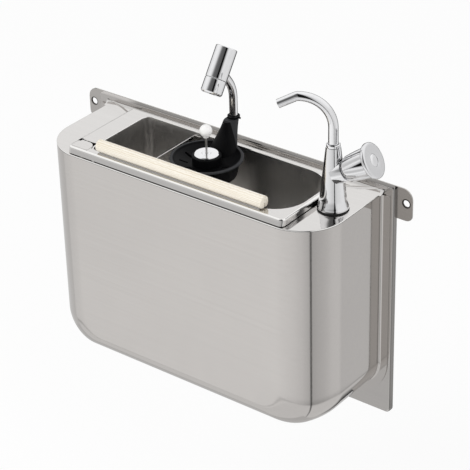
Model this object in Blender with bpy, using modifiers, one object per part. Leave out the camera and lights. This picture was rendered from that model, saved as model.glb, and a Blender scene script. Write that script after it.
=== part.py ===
"""A wall-hung rinse sink for ice cream scoops, with a tap, a spray and a press-knob rinse bowl.

Metres, +Z up. The origin lies on the wall face, midway between the two fixing holes. -Y is the front.
Heights of fixed pieces are world heights. Turned pieces are drawn about their own axis.
"""
import math

import bmesh
import bpy
from mathutils import Matrix, Vector

# General clearances, sheets and facets
gap = 0.0003
running_gap = 0.0006
overrun = 0.004
merge_distance = 0.00002
sheet = 0.0015
thin_sheet = 0.0012
visible_steps = 24
hidden_steps = 16
wide_steps = 32

# Wall panel and its hanging strap
panel_half_width = 0.2697
panel_top = 0.0226
panel_bottom = -0.3597
panel_depth = 0.008
panel_edge_radius = 0.0025
panel_corner_radius = 0.009
ear_reach = 0.0263
strap_half_width = panel_half_width + ear_reach
strap_height = 0.050
strap_thickness = 0.002
ear_top_radius = 0.016
ear_bottom_radius = 0.010
ear_hole_radius = 0.0055
ear_hole_inset = 0.010
ear_hole_spread = strap_half_width - ear_hole_inset
pipe_window_left = 0.070
pipe_window_margin = 0.0297
pipe_window_right = panel_half_width - pipe_window_margin
pipe_window_top = -0.175
pipe_window_bottom = -0.290

# Drawn pan and deck
deck_top = 0.009
flange_margin = 0.0197
body_half_width = panel_half_width - flange_margin
body_depth = 0.171
body_bottom = -0.326
side_fillet = 0.0676
bottom_fillet = 0.028
lower_corner = 0.054
front_corner = 0.034
flange_fillet = 0.004
flange_lip = 0.010
upstand_fillet = 0.007
upstand_height = 0.0065

# Raised rim around the basin opening
rim_front_margin = 0.004
rim_half_width = 0.1945
rim_front = body_depth - rim_front_margin
rim_back = 0.0165
rim_height = 0.011
rim_roll = 0.0036
opening_left = 0.160
opening_right = 0.1875
front_ledge = 0.012
opening_front = rim_front - front_ledge
opening_back = 0.026
opening_left_radius = 0.013
opening_right_radius = 0.050

# Basin and divider
basin_wall_inset = 0.0006
basin_flange = 0.0022
basin_depth = 0.160
basin_floor_fillet = 0.018
deck_hole_margin = 0.0020
divider_x = -0.070
divider_drop = 0.0045
divider_lift = 0.024
divider_return = 0.012

# Wiping bar, its rail and end stop
bar_radius = 0.0093
bar_flat = 0.0016
bar_left = -0.143
bar_right = 0.154
bar_overhang = 0.001
bar_y = bar_overhang - opening_front
rail_height = 0.0055
rail_foot = 0.006
rail_end_margin = 0.004
groove_width = 0.0024
stop_left = -0.190
stop_right = -0.160
stop_front_margin = 0.004
stop_width = 0.0225
stop_front = stop_front_margin - rim_front
stop_back = stop_front + stop_width
stop_nose_radius = 0.013
stop_lip = 0.0016
stop_slot_width = 0.0013
stop_slot_mouth = 0.0035

# Rinse bowl with its tower
bowl_x = 0.002
bowl_y = -0.0875
bowl_rim_z = 0.0266
bowl_radius = 0.0537
bowl_lip_width = 0.0052
bowl_lip_drop = 0.0028
bowl_wall = 0.003
bowl_floor_drop = 0.011
bowl_floor_radius = 0.025
bowl_slope_radius = 0.0465
bowl_slope_drop = 0.0025
skirt_radius = 0.049
skirt_foot_radius = 0.043
skirt_drop = 0.028
slot_width = 0.004
slot_inner_radius = 0.027
slot_outer_radius = 0.040
slot_spacing = math.radians(36)
slot_count = 6
tower_height = 0.0355
tower_base_reach = 0.036
tower_base_half_width = 0.026
tower_base_half_depth = 0.0138
tower_top_reach = 0.0590
tower_top_half_width = 0.0088
tower_top_half_depth = 0.0155
tower_taper_power = 1.3
tower_steps = 6
tower_sides = 16
tube_reach = 0.0651
riser_socket_depth = 0.012

# Press valve in the bowl
housing_radius = 0.0213
housing_top = 0.003
neck_radius = 0.0107
neck_drop = 0.046
chamber_radius = 0.008
chamber_drop = 0.038
water_way_radius = 0.003
disc_radius = 0.018
disc_thickness = 0.002
stem_radius = 0.0017
stem_collar_radius = 0.0066
stem_collar_drop = 0.012
stem_collar_height = 0.002
stem_end_drop = 0.0237
seal_radius = 0.0042
seal_height = 0.002
knob_centre_height = 0.041
knob_radius = 0.0093
knob_neck_radius = 0.0042
knob_half_height = 0.0103
spring_wire_radius = 0.0006
spring_radius = 0.0062
spring_turns = 5
spring_points_per_turn = 8
standpipe_radius = 0.015
standpipe_flange_radius = 0.024
standpipe_flange_height = 0.003
standpipe_bore = 0.0055
standpipe_tail = 0.030
washer_height = 0.002
nut_height = 0.008
nut_reach = 0.022

# Spray riser and head
riser_radius = 0.0061
riser_wall = 0.001
riser_bend_height = 0.1099
riser_bend_radius = 0.052
riser_lean = math.radians(36)
riser_run = 0.0392
collar_height = 0.003
collar_wall = 0.0025
lug_radius = 0.0014
lug_reach = 0.012
head_centre_y = -0.0535
head_centre_z = 0.1480
head_tilt = math.radians(35)
head_length = 0.0690
head_radius = 0.0158
head_edge = 0.0008
ring_length = 0.0218
ring_chamfer = 0.0022
ring_bore = 0.0115
ring_neck_radius = 0.0122
ring_neck_length = 0.004
plate_thickness = 0.002
plate_recess = 0.0016
plate_hole_radius = 0.0009
plate_hole_orbit = 0.0065
plate_hole_count = 6
hole_phase_share = 0.4

# Tap
tap_x = 0.218
tap_y = -0.082
gasket_height = 0.0016
tap_base_radius = 0.0225
tap_foot_height = 0.005
tap_waist_radius = 0.0204
tap_waist_height = 0.018
tap_top_radius = 0.0104
tap_top_height = 0.0952
spout_collar_height = 0.0043
spout_collar_radius = 0.0098
shank_radius = 0.010
shank_bore = 0.005
shank_lift = 0.0195
shank_drop = 0.045
tap_water_way = 0.004
spout_socket_drop = 0.017
spout_radius = 0.0073
spout_tip_share = 0.86
spout_wall = 0.001
spout_leg_top = 0.1232
spout_main_radius = 0.0487
spout_main_angle = math.radians(88)
spout_tip_radius = 0.010
spout_tip_angle = math.radians(25)
spout_tip_run = 0.025
spout_heading = math.radians(218)

# Side valve and handwheel of the tap
valve_drop = 0.0428
valve_height = tap_top_height - valve_drop
valve_lift = math.radians(29.7)
valve_turn = math.radians(11.6)
boss_radius = 0.0163
boss_start = 0.004
boss_end = 0.0222
seat_start = 0.0125
bonnet_nose_radius = 0.008
bonnet_flange_radius = 0.0118
bonnet_flange_height = 0.003
bonnet_radius = 0.0108
bonnet_end = 0.042
spindle_radius = 0.004
spindle_start = 0.014
spindle_end = 0.058
wheel_back = 0.026
wheel_back_radius = 0.0178
wheel_shoulder = 0.0600
wheel_shoulder_radius = 0.0226
wheel_face_start = 0.0625
wheel_face_end = 0.0688
wheel_radius = 0.0258
wheel_edge = 0.0018
wheel_cavity_radius = 0.0125
wheel_cavity_end = 0.046
flute_count = 5
flute_radius = 0.0034
flute_depth_share = 0.45
cap_radius = 0.009
cap_height = 0.0014
cap_recess = 0.0010

# Drain and trap
drain_x = 0.110
drain_y = -0.100
drain_radius = 0.023
drain_flange_radius = 0.034
drain_flange_height = 0.0018
drain_tail_radius = 0.0224
drain_throat_radius = 0.0195
drain_tail_drop = 0.045
strainer_radius = 0.026
strainer_thickness = 0.0015
strainer_guide_radius = 0.0188
strainer_guide_drop = 0.006
strainer_knob_radius = 0.004
strainer_knob_height = 0.011
strainer_hole_radius = 0.003
strainer_hole_orbit = 0.0115
strainer_hole_count = 7
trap_collar_radius = 0.026
trap_collar_top = 0.036
trap_collar_bottom = 0.058
trap_radius = 0.030
trap_wall = 0.0025
trap_bottom = 0.140
trap_cap_radius = 0.0335
trap_cap_height = 0.020
trap_cap_floor = 0.003
dip_flange_height = 0.002
dip_radius = 0.013
dip_wall = 0.0015
dip_drop = 0.120
outlet_radius = 0.016
outlet_wall = 0.0015
outlet_drop = 0.086
outlet_start = 0.025
wall_clearance = 0.002

# Water supply
pipe_radius = 0.0047
pipe_bend = 0.014
tee_y = -0.045
tee_z = -0.200
tee_radius = 0.0085
tee_half_length = 0.018
port_depth = 0.008
stop_valve_z = -0.252
stop_valve_radius = 0.010
stop_valve_half_length = 0.016
stop_port_reach = 0.018
stop_spindle_radius = 0.003
stop_spindle_reach = 0.020
lever_length = 0.030
lever_width = 0.010
lever_thickness = 0.004
lever_boss_margin = 0.005
feed_start_lift = 0.010
feed_knee_top = 0.030
feed_knee_bottom = 0.045
rinse_knee_x = 0.060

# Finishes: colour, roughness, metallic
brushed_steel = ("brushed_steel", (0.66, 0.64, 0.62), 0.34, 1.0)
dark_steel = ("basin_steel", (0.50, 0.49, 0.47), 0.38, 1.0)
chrome = ("chrome", (0.86, 0.86, 0.87), 0.07, 1.0)
black_plastic = ("black_plastic", (0.014, 0.014, 0.016), 0.42, 0.0)
white_plastic = ("white_plastic", (0.88, 0.87, 0.85), 0.35, 0.0)
beech = ("beech_wood", (0.84, 0.74, 0.56), 0.60, 0.0)
rubber = ("black_rubber", (0.02, 0.02, 0.02), 0.75, 0.0)
brass = ("brass", (0.72, 0.55, 0.28), 0.35, 1.0)
copper = ("copper", (0.72, 0.42, 0.29), 0.32, 1.0)
spring_steel = ("spring_steel", (0.55, 0.56, 0.58), 0.30, 1.0)
grey_plastic = ("grey_plastic", (0.78, 0.78, 0.77), 0.45, 0.0)


def clear_scene():
    """Remove every object of the open scene."""
    for thing in list(bpy.data.objects):
        bpy.data.objects.remove(thing, do_unlink=True)


def new_collection(name):
    """A collection of the scene."""
    collection = bpy.data.collections.new(name)
    bpy.context.scene.collection.children.link(collection)
    return collection


clear_scene()
parts = new_collection("scoop_rinse_sink")
guides = new_collection("cutters")


def finish_with(thing, name, finish):
    """Give an object its own Principled material."""
    colour, roughness, metallic = finish[1:]
    material = bpy.data.materials.new(name + "_" + finish[0])
    material.use_nodes = True
    shader = material.node_tree.nodes["Principled BSDF"]
    shader.inputs["Base Color"].default_value = (*colour, 1.0)
    shader.inputs["Roughness"].default_value = roughness
    shader.inputs["Metallic"].default_value = metallic
    thing.data.materials.clear()
    thing.data.materials.append(material)


def put(name, mesh, finish, at=(0.0, 0.0, 0.0), parent=None, spin=(0.0, 0.0, 0.0)):
    """Make a mesh an object: a part when it has a finish, otherwise a cutter."""
    mesh.shade_smooth()
    mesh.set_sharp_from_angle(angle=math.radians(32))
    thing = bpy.data.objects.new(name, mesh)
    thing.location = at
    thing.rotation_euler = spin
    thing.parent = parent
    if finish is None:
        guides.objects.link(thing)
        thing.hide_render = True
        thing.display_type = "WIRE"
    else:
        parts.objects.link(thing)
        finish_with(thing, name, finish)
    return thing


def evaluated_mesh(thing):
    """The mesh of an object with its modifiers, its caps welded. The object is removed."""
    bpy.context.view_layer.update()
    seen = thing.evaluated_get(bpy.context.evaluated_depsgraph_get())
    mesh = bpy.data.meshes.new_from_object(seen)
    bpy.data.objects.remove(thing, do_unlink=True)
    soft = bmesh.new()
    soft.from_mesh(mesh)
    bmesh.ops.remove_doubles(soft, verts=soft.verts, dist=merge_distance)
    soft.to_mesh(mesh)
    soft.free()
    return mesh


def axis(name, at, spin=(0.0, 0.0, 0.0)):
    """An empty that carries the pieces on one axis."""
    empty = bpy.data.objects.new(name, None)
    empty.location = at
    empty.rotation_euler = spin
    parts.objects.link(empty)
    return empty


def join(target, tool, operation):
    """Cut a guide object from a part, or add it, with an exact Boolean."""
    modifier = target.modifiers.new(tool.name, "BOOLEAN")
    modifier.operation = operation
    modifier.solver = "EXACT"
    modifier.object = tool


def turned_mesh(name, profile, steps):
    """A profile of (radius, height) points turned about Z.

    The points run down the outer side. The profile is closed unless both its ends lie on the axis.
    """
    mesh = bpy.data.meshes.new(name)
    points = [(radius, 0.0, height) for radius, height in profile]
    edges = [(index, index + 1) for index in range(len(points) - 1)]
    if profile[0][0] > 0 and profile[-1][0] > 0:
        edges.append((len(points) - 1, 0))
    mesh.from_pydata(points, edges, [])
    thing = bpy.data.objects.new(name, mesh)
    bpy.context.scene.collection.objects.link(thing)
    screw = thing.modifiers.new("turn", "SCREW")
    screw.angle = math.tau
    screw.steps = steps
    screw.render_steps = steps
    screw.use_merge_vertices = True
    screw.merge_threshold = merge_distance
    return evaluated_mesh(thing)


def turned(name, profile, finish, at, steps=visible_steps, parent=None, spin=(0.0, 0.0, 0.0)):
    """A turned part or cutter."""
    return put(name, turned_mesh(name, profile, steps), finish, at, parent, spin)


def rod_profile(radius, low, high):
    """Profile of a plain solid round rod."""
    return [(0.0, high), (radius, high), (radius, low), (0.0, low)]


def sleeve_profile(outer, inner, low, high):
    """Profile of a plain round sleeve."""
    return [(outer, high), (outer, low), (inner, low), (inner, high)]


def prism_mesh(name, outline, thickness, plane):
    """A flat outline as a filled 2D curve, extruded by half its thickness to each side.

    Plane XY takes (x, y) points, XZ takes (x, z) points and YZ takes (y, z) points.
    """
    curve = bpy.data.curves.new(name, "CURVE")
    curve.dimensions = "2D"
    curve.fill_mode = "BOTH"
    curve.extrude = thickness / 2
    spline = curve.splines.new("POLY")
    spline.points.add(len(outline) - 1)
    for point, (first, second) in zip(spline.points, outline):
        point.co = (first, second, 0.0, 1.0)
    spline.use_cyclic_u = True
    thing = bpy.data.objects.new(name, curve)
    bpy.context.scene.collection.objects.link(thing)
    mesh = evaluated_mesh(thing)
    turns = {
        "XY": Matrix.Identity(4),
        "XZ": Matrix.Rotation(math.pi / 2, 4, "X"),
        "YZ": Matrix(((0, 0, 1, 0), (1, 0, 0, 0), (0, 1, 0, 0), (0, 0, 0, 1))),
    }
    mesh.transform(turns[plane])
    return mesh


def prism(name, outline, thickness, finish, at, plane="XY", parent=None):
    """A flat-sided part or cutter."""
    return put(name, prism_mesh(name, outline, thickness, plane), finish, at, parent)


def block(name, low, high, finish=None):
    """A box between two corners."""
    shape = bmesh.new()
    bmesh.ops.create_cube(shape, size=1.0)
    size = Vector(high) - Vector(low)
    middle = (Vector(high) + Vector(low)) / 2
    bmesh.ops.scale(shape, vec=size, verts=shape.verts)
    mesh = bpy.data.meshes.new(name)
    shape.to_mesh(mesh)
    shape.free()
    return put(name, mesh, finish, middle)


def arc(centre, radius, start, end, steps):
    """Points of a circular arc in a plane, angles in degrees, both ends included."""
    points = []
    for step in range(steps + 1):
        angle = math.radians(start + (end - start) * step / steps)
        points.append((centre[0] + radius * math.cos(angle), centre[1] + radius * math.sin(angle)))
    return points


def rounded_route(corners, radius, steps=5):
    """A route of straight runs whose inner corners are arcs of one radius."""
    corners = [Vector(corner) for corner in corners]
    route = [corners[0]]
    for before, corner, after in zip(corners, corners[1:], corners[2:]):
        coming = (corner - before).normalized()
        going = (after - corner).normalized()
        angle = coming.angle(going)
        start = corner - coming * radius * math.tan(angle / 2)
        side = (going - coming * math.cos(angle)) / math.sin(angle)
        for step in range(steps + 1):
            part = angle * step / steps
            route.append(start + radius * (coming * math.sin(part) + side * (1 - math.cos(part))))
    route.append(corners[-1])
    return route


def tube_mesh(name, route, radius, wall=None, bevel_resolution=4, tip_share=1.0):
    """A round tube along a route. It is solid without a wall, and may taper towards its tip."""
    curve = bpy.data.curves.new(name, "CURVE")
    curve.dimensions = "3D"
    curve.bevel_depth = radius
    curve.bevel_resolution = bevel_resolution
    curve.use_fill_caps = wall is None
    spline = curve.splines.new("POLY")
    spline.points.add(len(route) - 1)
    for index, (point, place) in enumerate(zip(spline.points, route)):
        point.co = (*place, 1.0)
        point.radius = 1 - (1 - tip_share) * index / (len(route) - 1)
    thing = bpy.data.objects.new(name, curve)
    bpy.context.scene.collection.objects.link(thing)
    if wall is not None:
        solid = thing.modifiers.new("wall", "SOLIDIFY")
        solid.thickness = wall
        solid.offset = -1.0
    return evaluated_mesh(thing)


def tube(name, route, radius, finish, wall=None, at=(0.0, 0.0, 0.0), spin=(0.0, 0.0, 0.0),
         bevel_resolution=4, tip_share=1.0, parent=None):
    """A tube part or cutter."""
    mesh = tube_mesh(name, route, radius, wall, bevel_resolution, tip_share)
    return put(name, mesh, finish, at, parent, spin)


def skin_mesh(name, rings, closed):
    """An open skin through rings of points, whose last ring is filled with one flat face."""
    shape = bmesh.new()
    rows = [[shape.verts.new(point) for point in ring] for ring in rings]
    count = len(rows[0])
    for row, following in zip(rows, rows[1:]):
        for index in range(count if closed else count - 1):
            after = (index + 1) % count
            shape.faces.new((row[index], row[after], following[after], following[index]))
    shape.faces.new(rows[-1])
    mesh = bpy.data.meshes.new(name)
    shape.to_mesh(mesh)
    shape.free()
    return mesh


def thicken(thing, thickness):
    """Give an open skin its sheet thickness behind its face."""
    solid = thing.modifiers.new("sheet", "SOLIDIFY")
    solid.thickness = thickness
    solid.offset = -1.0
    solid.use_even_offset = True


def body_width_at(depth):
    """How far the pan's side lies outside (+) or inside (-) its full width at a depth from the wall."""
    flange_plane = panel_depth + gap + sheet
    if depth <= flange_plane:
        return flange_fillet + flange_lip
    if depth < flange_plane + flange_fillet:
        over = flange_plane + flange_fillet - depth
        return flange_fillet - math.sqrt(flange_fillet ** 2 - over ** 2)
    if depth <= body_depth - side_fillet:
        return 0.0
    over = min(depth - (body_depth - side_fillet), side_fillet)
    return math.sqrt(side_fillet ** 2 - over ** 2) - side_fillet


def body_bottom_at(depth):
    """How far the pan's bottom lies outside (+) or inside (-) its full drop at a depth from the wall."""
    if depth < body_depth - side_fillet:
        return body_width_at(depth)
    over = max(depth - (body_depth - bottom_fillet), 0.0)
    return math.sqrt(max(bottom_fillet ** 2 - over ** 2, 0.0)) - bottom_fillet


def body_depths():
    """Depths from the wall at which the pan's sections are drawn, flange first."""
    flange_plane = panel_depth + gap + sheet
    depths = []
    for degrees in (20, 45, 70, 90):
        depths.append(flange_plane + flange_fillet * (1 - math.cos(math.radians(degrees))))
    for degrees in range(0, 91, 15):
        depths.append(body_depth - side_fillet * (1 - math.sin(math.radians(degrees))))
    return depths


def body_section(depth, outward, top):
    """One U-shaped section of the pan, from its top left down, across and up to its top right."""
    side = body_half_width + (body_width_at(depth) if outward is None else outward)
    low = body_bottom - (body_bottom_at(depth) if outward is None else outward)
    inward = max(-body_width_at(depth), 0.0) / side_fillet
    corner = lower_corner + max(side - body_half_width, 0.0) - (lower_corner - front_corner) * inward
    outline = [(-side, top)]
    outline += arc((corner - side, low + corner), corner, 180, 270, 6)
    outline += arc((side - corner, low + corner), corner, 270, 360, 6)
    outline.append((side, top))
    return [(x, -depth, z) for x, z in outline]


def make_wall_panel():
    """The folded back panel, with notches for the strap and a window for the pipes."""
    shape = bmesh.new()
    bmesh.ops.create_cube(shape, size=1.0)
    height = panel_top - panel_bottom
    bmesh.ops.scale(shape, vec=(2 * panel_half_width, panel_depth, height), verts=shape.verts)
    back = [face for face in shape.faces if face.normal.y > 0.5]
    bmesh.ops.delete(shape, geom=back, context="FACES")
    corners = [edge for edge in shape.edges
               if all(vert.co.z < 0 for vert in edge.verts) and edge.verts[0].co.y * edge.verts[1].co.y < 0]
    bmesh.ops.bevel(shape, geom=corners, offset=panel_corner_radius, segments=5, profile=0.5,
                    affect="EDGES")
    upper = [edge for edge in shape.edges
             if all(vert.co.z > 0 for vert in edge.verts) and edge.verts[0].co.y * edge.verts[1].co.y < 0]
    rounded = upper + [edge for edge in shape.edges
                       if len(edge.link_faces) == 2 and all(vert.co.y < 0 for vert in edge.verts)]
    bmesh.ops.bevel(shape, geom=rounded, offset=panel_edge_radius, segments=2, profile=0.5,
                    affect="EDGES")
    mesh = bpy.data.meshes.new("wall_panel")
    shape.to_mesh(mesh)
    shape.free()
    middle = (0.0, -panel_depth / 2, (panel_top + panel_bottom) / 2)
    panel = put("wall_panel", mesh, brushed_steel, middle)
    thicken(panel, sheet)
    strap_low = panel_top - strap_height
    notch = block("strap_notch", (-strap_half_width, -strap_thickness - gap, strap_low - gap),
                  (strap_half_width, overrun, panel_top + overrun))
    join(panel, notch, "DIFFERENCE")
    window = block("pipe_window", (pipe_window_left, -panel_depth - overrun, pipe_window_bottom),
                   (pipe_window_right, overrun, pipe_window_top))
    join(panel, window, "DIFFERENCE")


def make_hanging_strap():
    """The strap behind the panel, whose ends are the two ears with the fixing holes."""
    low = panel_top - strap_height
    side = strap_half_width
    outline = arc((ear_top_radius - side, panel_top - ear_top_radius), ear_top_radius, 90, 180, 5)
    outline += arc((ear_bottom_radius - side, low + ear_bottom_radius), ear_bottom_radius, 180, 270, 4)
    outline += arc((side - ear_bottom_radius, low + ear_bottom_radius), ear_bottom_radius, 270, 360, 4)
    outline += arc((side - ear_top_radius, panel_top - ear_top_radius), ear_top_radius, 0, 90, 5)
    middle = -strap_thickness / 2
    strap = prism("hanging_strap", outline, strap_thickness, brushed_steel, (0.0, middle, 0.0), "XZ")
    for side_name, sign in (("left", -1), ("right", 1)):
        hole = turned("ear_hole_" + side_name, rod_profile(ear_hole_radius, -overrun, overrun), None,
                      (sign * ear_hole_spread, middle, 0.0), hidden_steps, spin=(math.pi / 2, 0.0, 0.0))
        join(strap, hole, "DIFFERENCE")


def make_outer_shell():
    """The drawn pan: sides, bottom and front in one skin, with its flange on the panel."""
    top = deck_top - sheet - gap
    plane = panel_depth + gap + sheet
    rings = [body_section(plane, flange_fillet + flange_lip, top), body_section(plane, flange_fillet, top)]
    rings += [body_section(depth, None, top) for depth in body_depths()]
    thicken(put("outer_shell", skin_mesh("outer_shell", rings, False), brushed_steel), sheet)


rim_top = deck_top + gap + rim_height


def opening_outline(outward):
    """The basin opening's outline, counter-clockwise from above, moved outward by a distance."""
    left = -opening_left - outward
    right = opening_right + outward
    front = -opening_front - outward
    back = -opening_back + outward
    tight = opening_left_radius + outward
    wide = opening_right_radius + outward
    outline = arc((right - wide, front + wide), wide, 270, 360, 9)
    outline += arc((right - wide, back - wide), wide, 0, 90, 9)
    outline += arc((left + tight, back - tight), tight, 90, 180, 4)
    outline += arc((left + tight, front + tight), tight, 180, 270, 4)
    return outline


def make_deck_plate():
    """The flat top with its rear upstand, trimmed to the pan and cut for basin and tap."""
    foot = panel_depth + gap + sheet
    outer = arc((-foot - upstand_fillet, upstand_fillet), upstand_fillet, 270, 355, 4)
    inner = arc((-foot - upstand_fillet, upstand_fillet), upstand_fillet + sheet, 355, 270, 4)
    section = [(-body_depth - overrun, -sheet), (-body_depth - overrun, 0.0)]
    section += outer + inner
    deck = prism("deck_plate", section, 2 * (body_half_width + flange_fillet + flange_lip), brushed_steel,
                 (0.0, 0.0, deck_top), "YZ")
    depths = [panel_depth + gap / 2, panel_depth + gap + sheet] + body_depths()
    half = [(body_half_width + body_width_at(depth), -depth) for depth in depths]
    trim = prism("deck_trim", half + [(-x, y) for x, y in reversed(half)], 2 * body_depth, None,
                 (0.0, 0.0, deck_top))
    join(deck, trim, "INTERSECT")
    margin = basin_wall_inset + thin_sheet + deck_hole_margin
    hole = prism("deck_opening", opening_outline(margin), 2 * (sheet + overrun), None, (0.0, 0.0, deck_top))
    join(deck, hole, "DIFFERENCE")
    tap_hole = turned("tap_hole", rod_profile(shank_radius + running_gap, -sheet - overrun, overrun), None,
                      (tap_x, tap_y, deck_top), hidden_steps)
    join(deck, tap_hole, "DIFFERENCE")


def stop_nose():
    """The round corner of the bar's end stop, from its right side to its back."""
    nose = stop_nose_radius
    return arc((stop_right - nose, stop_back - nose), nose, 0, 90, 6)


def slot_outline():
    """The slot in the rim behind the end stop, counter-clockwise from above. It widens at the nose."""
    back = stop_back + stop_slot_width
    mouth = stop_right + stop_slot_mouth
    nose = stop_nose()
    return [(mouth - stop_slot_mouth / 2, nose[0][1]), (mouth - stop_slot_mouth, back), (stop_left, back),
            (stop_left, stop_back)] + list(reversed(nose))


def make_tray_rim():
    """The raised rim: a shallow upturned tray with rolled edges and the basin opening."""
    shape = bmesh.new()
    bmesh.ops.create_cube(shape, size=1.0)
    depth = rim_front - rim_back
    bmesh.ops.scale(shape, vec=(2 * rim_half_width, depth, rim_height), verts=shape.verts)
    under = [face for face in shape.faces if face.normal.z < -0.5]
    bmesh.ops.delete(shape, geom=under, context="FACES")
    bmesh.ops.bevel(shape, geom=[edge for edge in shape.edges if len(edge.link_faces) == 2],
                    offset=rim_roll, segments=3, profile=0.5, affect="EDGES")
    mesh = bpy.data.meshes.new("tray_rim")
    shape.to_mesh(mesh)
    shape.free()
    middle = (0.0, -(rim_front + rim_back) / 2, deck_top + gap + rim_height / 2)
    rim = put("tray_rim", mesh, brushed_steel, middle)
    thicken(rim, thin_sheet)
    hole = prism("rim_opening", opening_outline(0.0), 4 * rim_height, None, (0.0, 0.0, deck_top))
    join(rim, hole, "DIFFERENCE")
    slot = prism("stop_slot", slot_outline(), rim_height, None, (0.0, 0.0, rim_top))
    join(rim, slot, "DIFFERENCE")


basin_top = rim_top - thin_sheet - gap
basin_floor = basin_top - basin_depth


def make_basin_bowl():
    """The basin: flange under the rim, upright walls, filleted floor with its two holes."""
    inset = basin_wall_inset
    rings = []
    for outward, height in ((inset + basin_flange, basin_top), (inset, basin_top)):
        rings.append([(x, y, height) for x, y in opening_outline(outward)])
    fillet = min(basin_floor_fillet, opening_left_radius)
    for degrees in (0, 30, 60, 90):
        inward = fillet * (1 - math.cos(math.radians(degrees)))
        height = basin_floor + fillet * (1 - math.sin(math.radians(degrees)))
        rings.append([(x, y, height) for x, y in opening_outline(inset - inward)])
    basin = put("basin_bowl", skin_mesh("basin_bowl", rings, True), dark_steel)
    thicken(basin, thin_sheet)
    drain = turned("drain_hole", rod_profile(drain_radius, -overrun, overrun), None,
                   (drain_x, drain_y, basin_floor), visible_steps)
    join(basin, drain, "DIFFERENCE")
    stand = turned("standpipe_hole", rod_profile(standpipe_radius + running_gap, -overrun, overrun), None,
                   (bowl_x, bowl_y, basin_floor), hidden_steps)
    join(basin, stand, "DIFFERENCE")


def make_divider():
    """The upright partition, with its two ends turned against the basin walls."""
    front = -opening_front - basin_wall_inset + gap
    back = -opening_back + basin_wall_inset - gap
    web = thin_sheet
    outline = [(0.0, front), (divider_return, front), (divider_return, front + web), (web, front + web),
               (web, back - web), (divider_return, back - web), (divider_return, back), (0.0, back)]
    top = deck_top + divider_drop
    low = basin_floor + divider_lift
    prism("divider_plate", outline, top - low, dark_steel, (divider_x, 0.0, (top + low) / 2))


def make_wiping_bar():
    """The round wooden bar, grooved over its upturned rail, and the stop at its left end."""
    length = bar_right - bar_left
    foot_low = rim_top + gap
    foot_high = foot_low + thin_sheet
    rail_length = length - 2 * rail_end_margin
    section = [(-rail_foot, 0.0), (thin_sheet, 0.0), (thin_sheet, rail_height),
               (0.0, rail_height), (0.0, thin_sheet), (-rail_foot, thin_sheet)]
    middle = (bar_left + bar_right) / 2
    prism("bar_rail", section, rail_length, brushed_steel, (middle, bar_y, foot_low), "YZ")
    flat = bar_radius - bar_flat
    half_angle = math.degrees(math.acos(flat / bar_radius))
    outline = arc((0.0, 0.0), bar_radius, 270 + half_angle, 630 - half_angle, 20)
    bar_z = foot_high + gap + flat
    bar = prism("scraper_bar", outline, length, beech, (middle, bar_y, bar_z), "YZ")
    half_groove = groove_width / 2
    groove_middle = bar_y + thin_sheet / 2
    groove = block("bar_groove", (bar_left - overrun, groove_middle - half_groove, foot_low - overrun),
                   (bar_right + overrun, groove_middle + half_groove, foot_low + rail_height + gap))
    join(bar, groove, "DIFFERENCE")
    plate = [(stop_left, stop_back), (stop_left, stop_front), (stop_right, stop_front)] + stop_nose()
    prism("bar_end_stop", plate, stop_lip, brushed_steel, (0.0, 0.0, rim_top + gap + stop_lip / 2))


bowl_place = (bowl_x, bowl_y, bowl_rim_z)


def tower_mesh():
    """The bowl's tower: ellipses that shrink and step back from the bowl's back wall to the tube."""
    low = -bowl_floor_drop - bowl_wall / 2
    rings = []
    for step in range(tower_steps + 1):
        share = step / tower_steps
        half_width = tower_top_half_width + (tower_base_half_width - tower_top_half_width) * (1 - share) ** tower_taper_power
        half_depth = tower_base_half_depth + (tower_top_half_depth - tower_base_half_depth) * share ** 0.5
        reach = tower_base_reach + (tower_top_reach - tower_base_reach) * share
        height = low + (tower_height - low) * share
        ring = []
        for side in range(tower_sides):
            angle = math.tau * side / tower_sides
            ring.append((half_width * math.cos(angle), reach + half_depth * math.sin(angle), height))
        rings.append(ring)
    shape = bmesh.new()
    rows = [[shape.verts.new(point) for point in ring] for ring in rings]
    for row, following in zip(rows, rows[1:]):
        for index in range(tower_sides):
            after = (index + 1) % tower_sides
            shape.faces.new((row[index], row[after], following[after], following[index]))
    shape.faces.new(reversed(rows[0]))
    shape.faces.new(rows[-1])
    mesh = bpy.data.meshes.new("tower")
    shape.to_mesh(mesh)
    shape.free()
    return mesh


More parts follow.
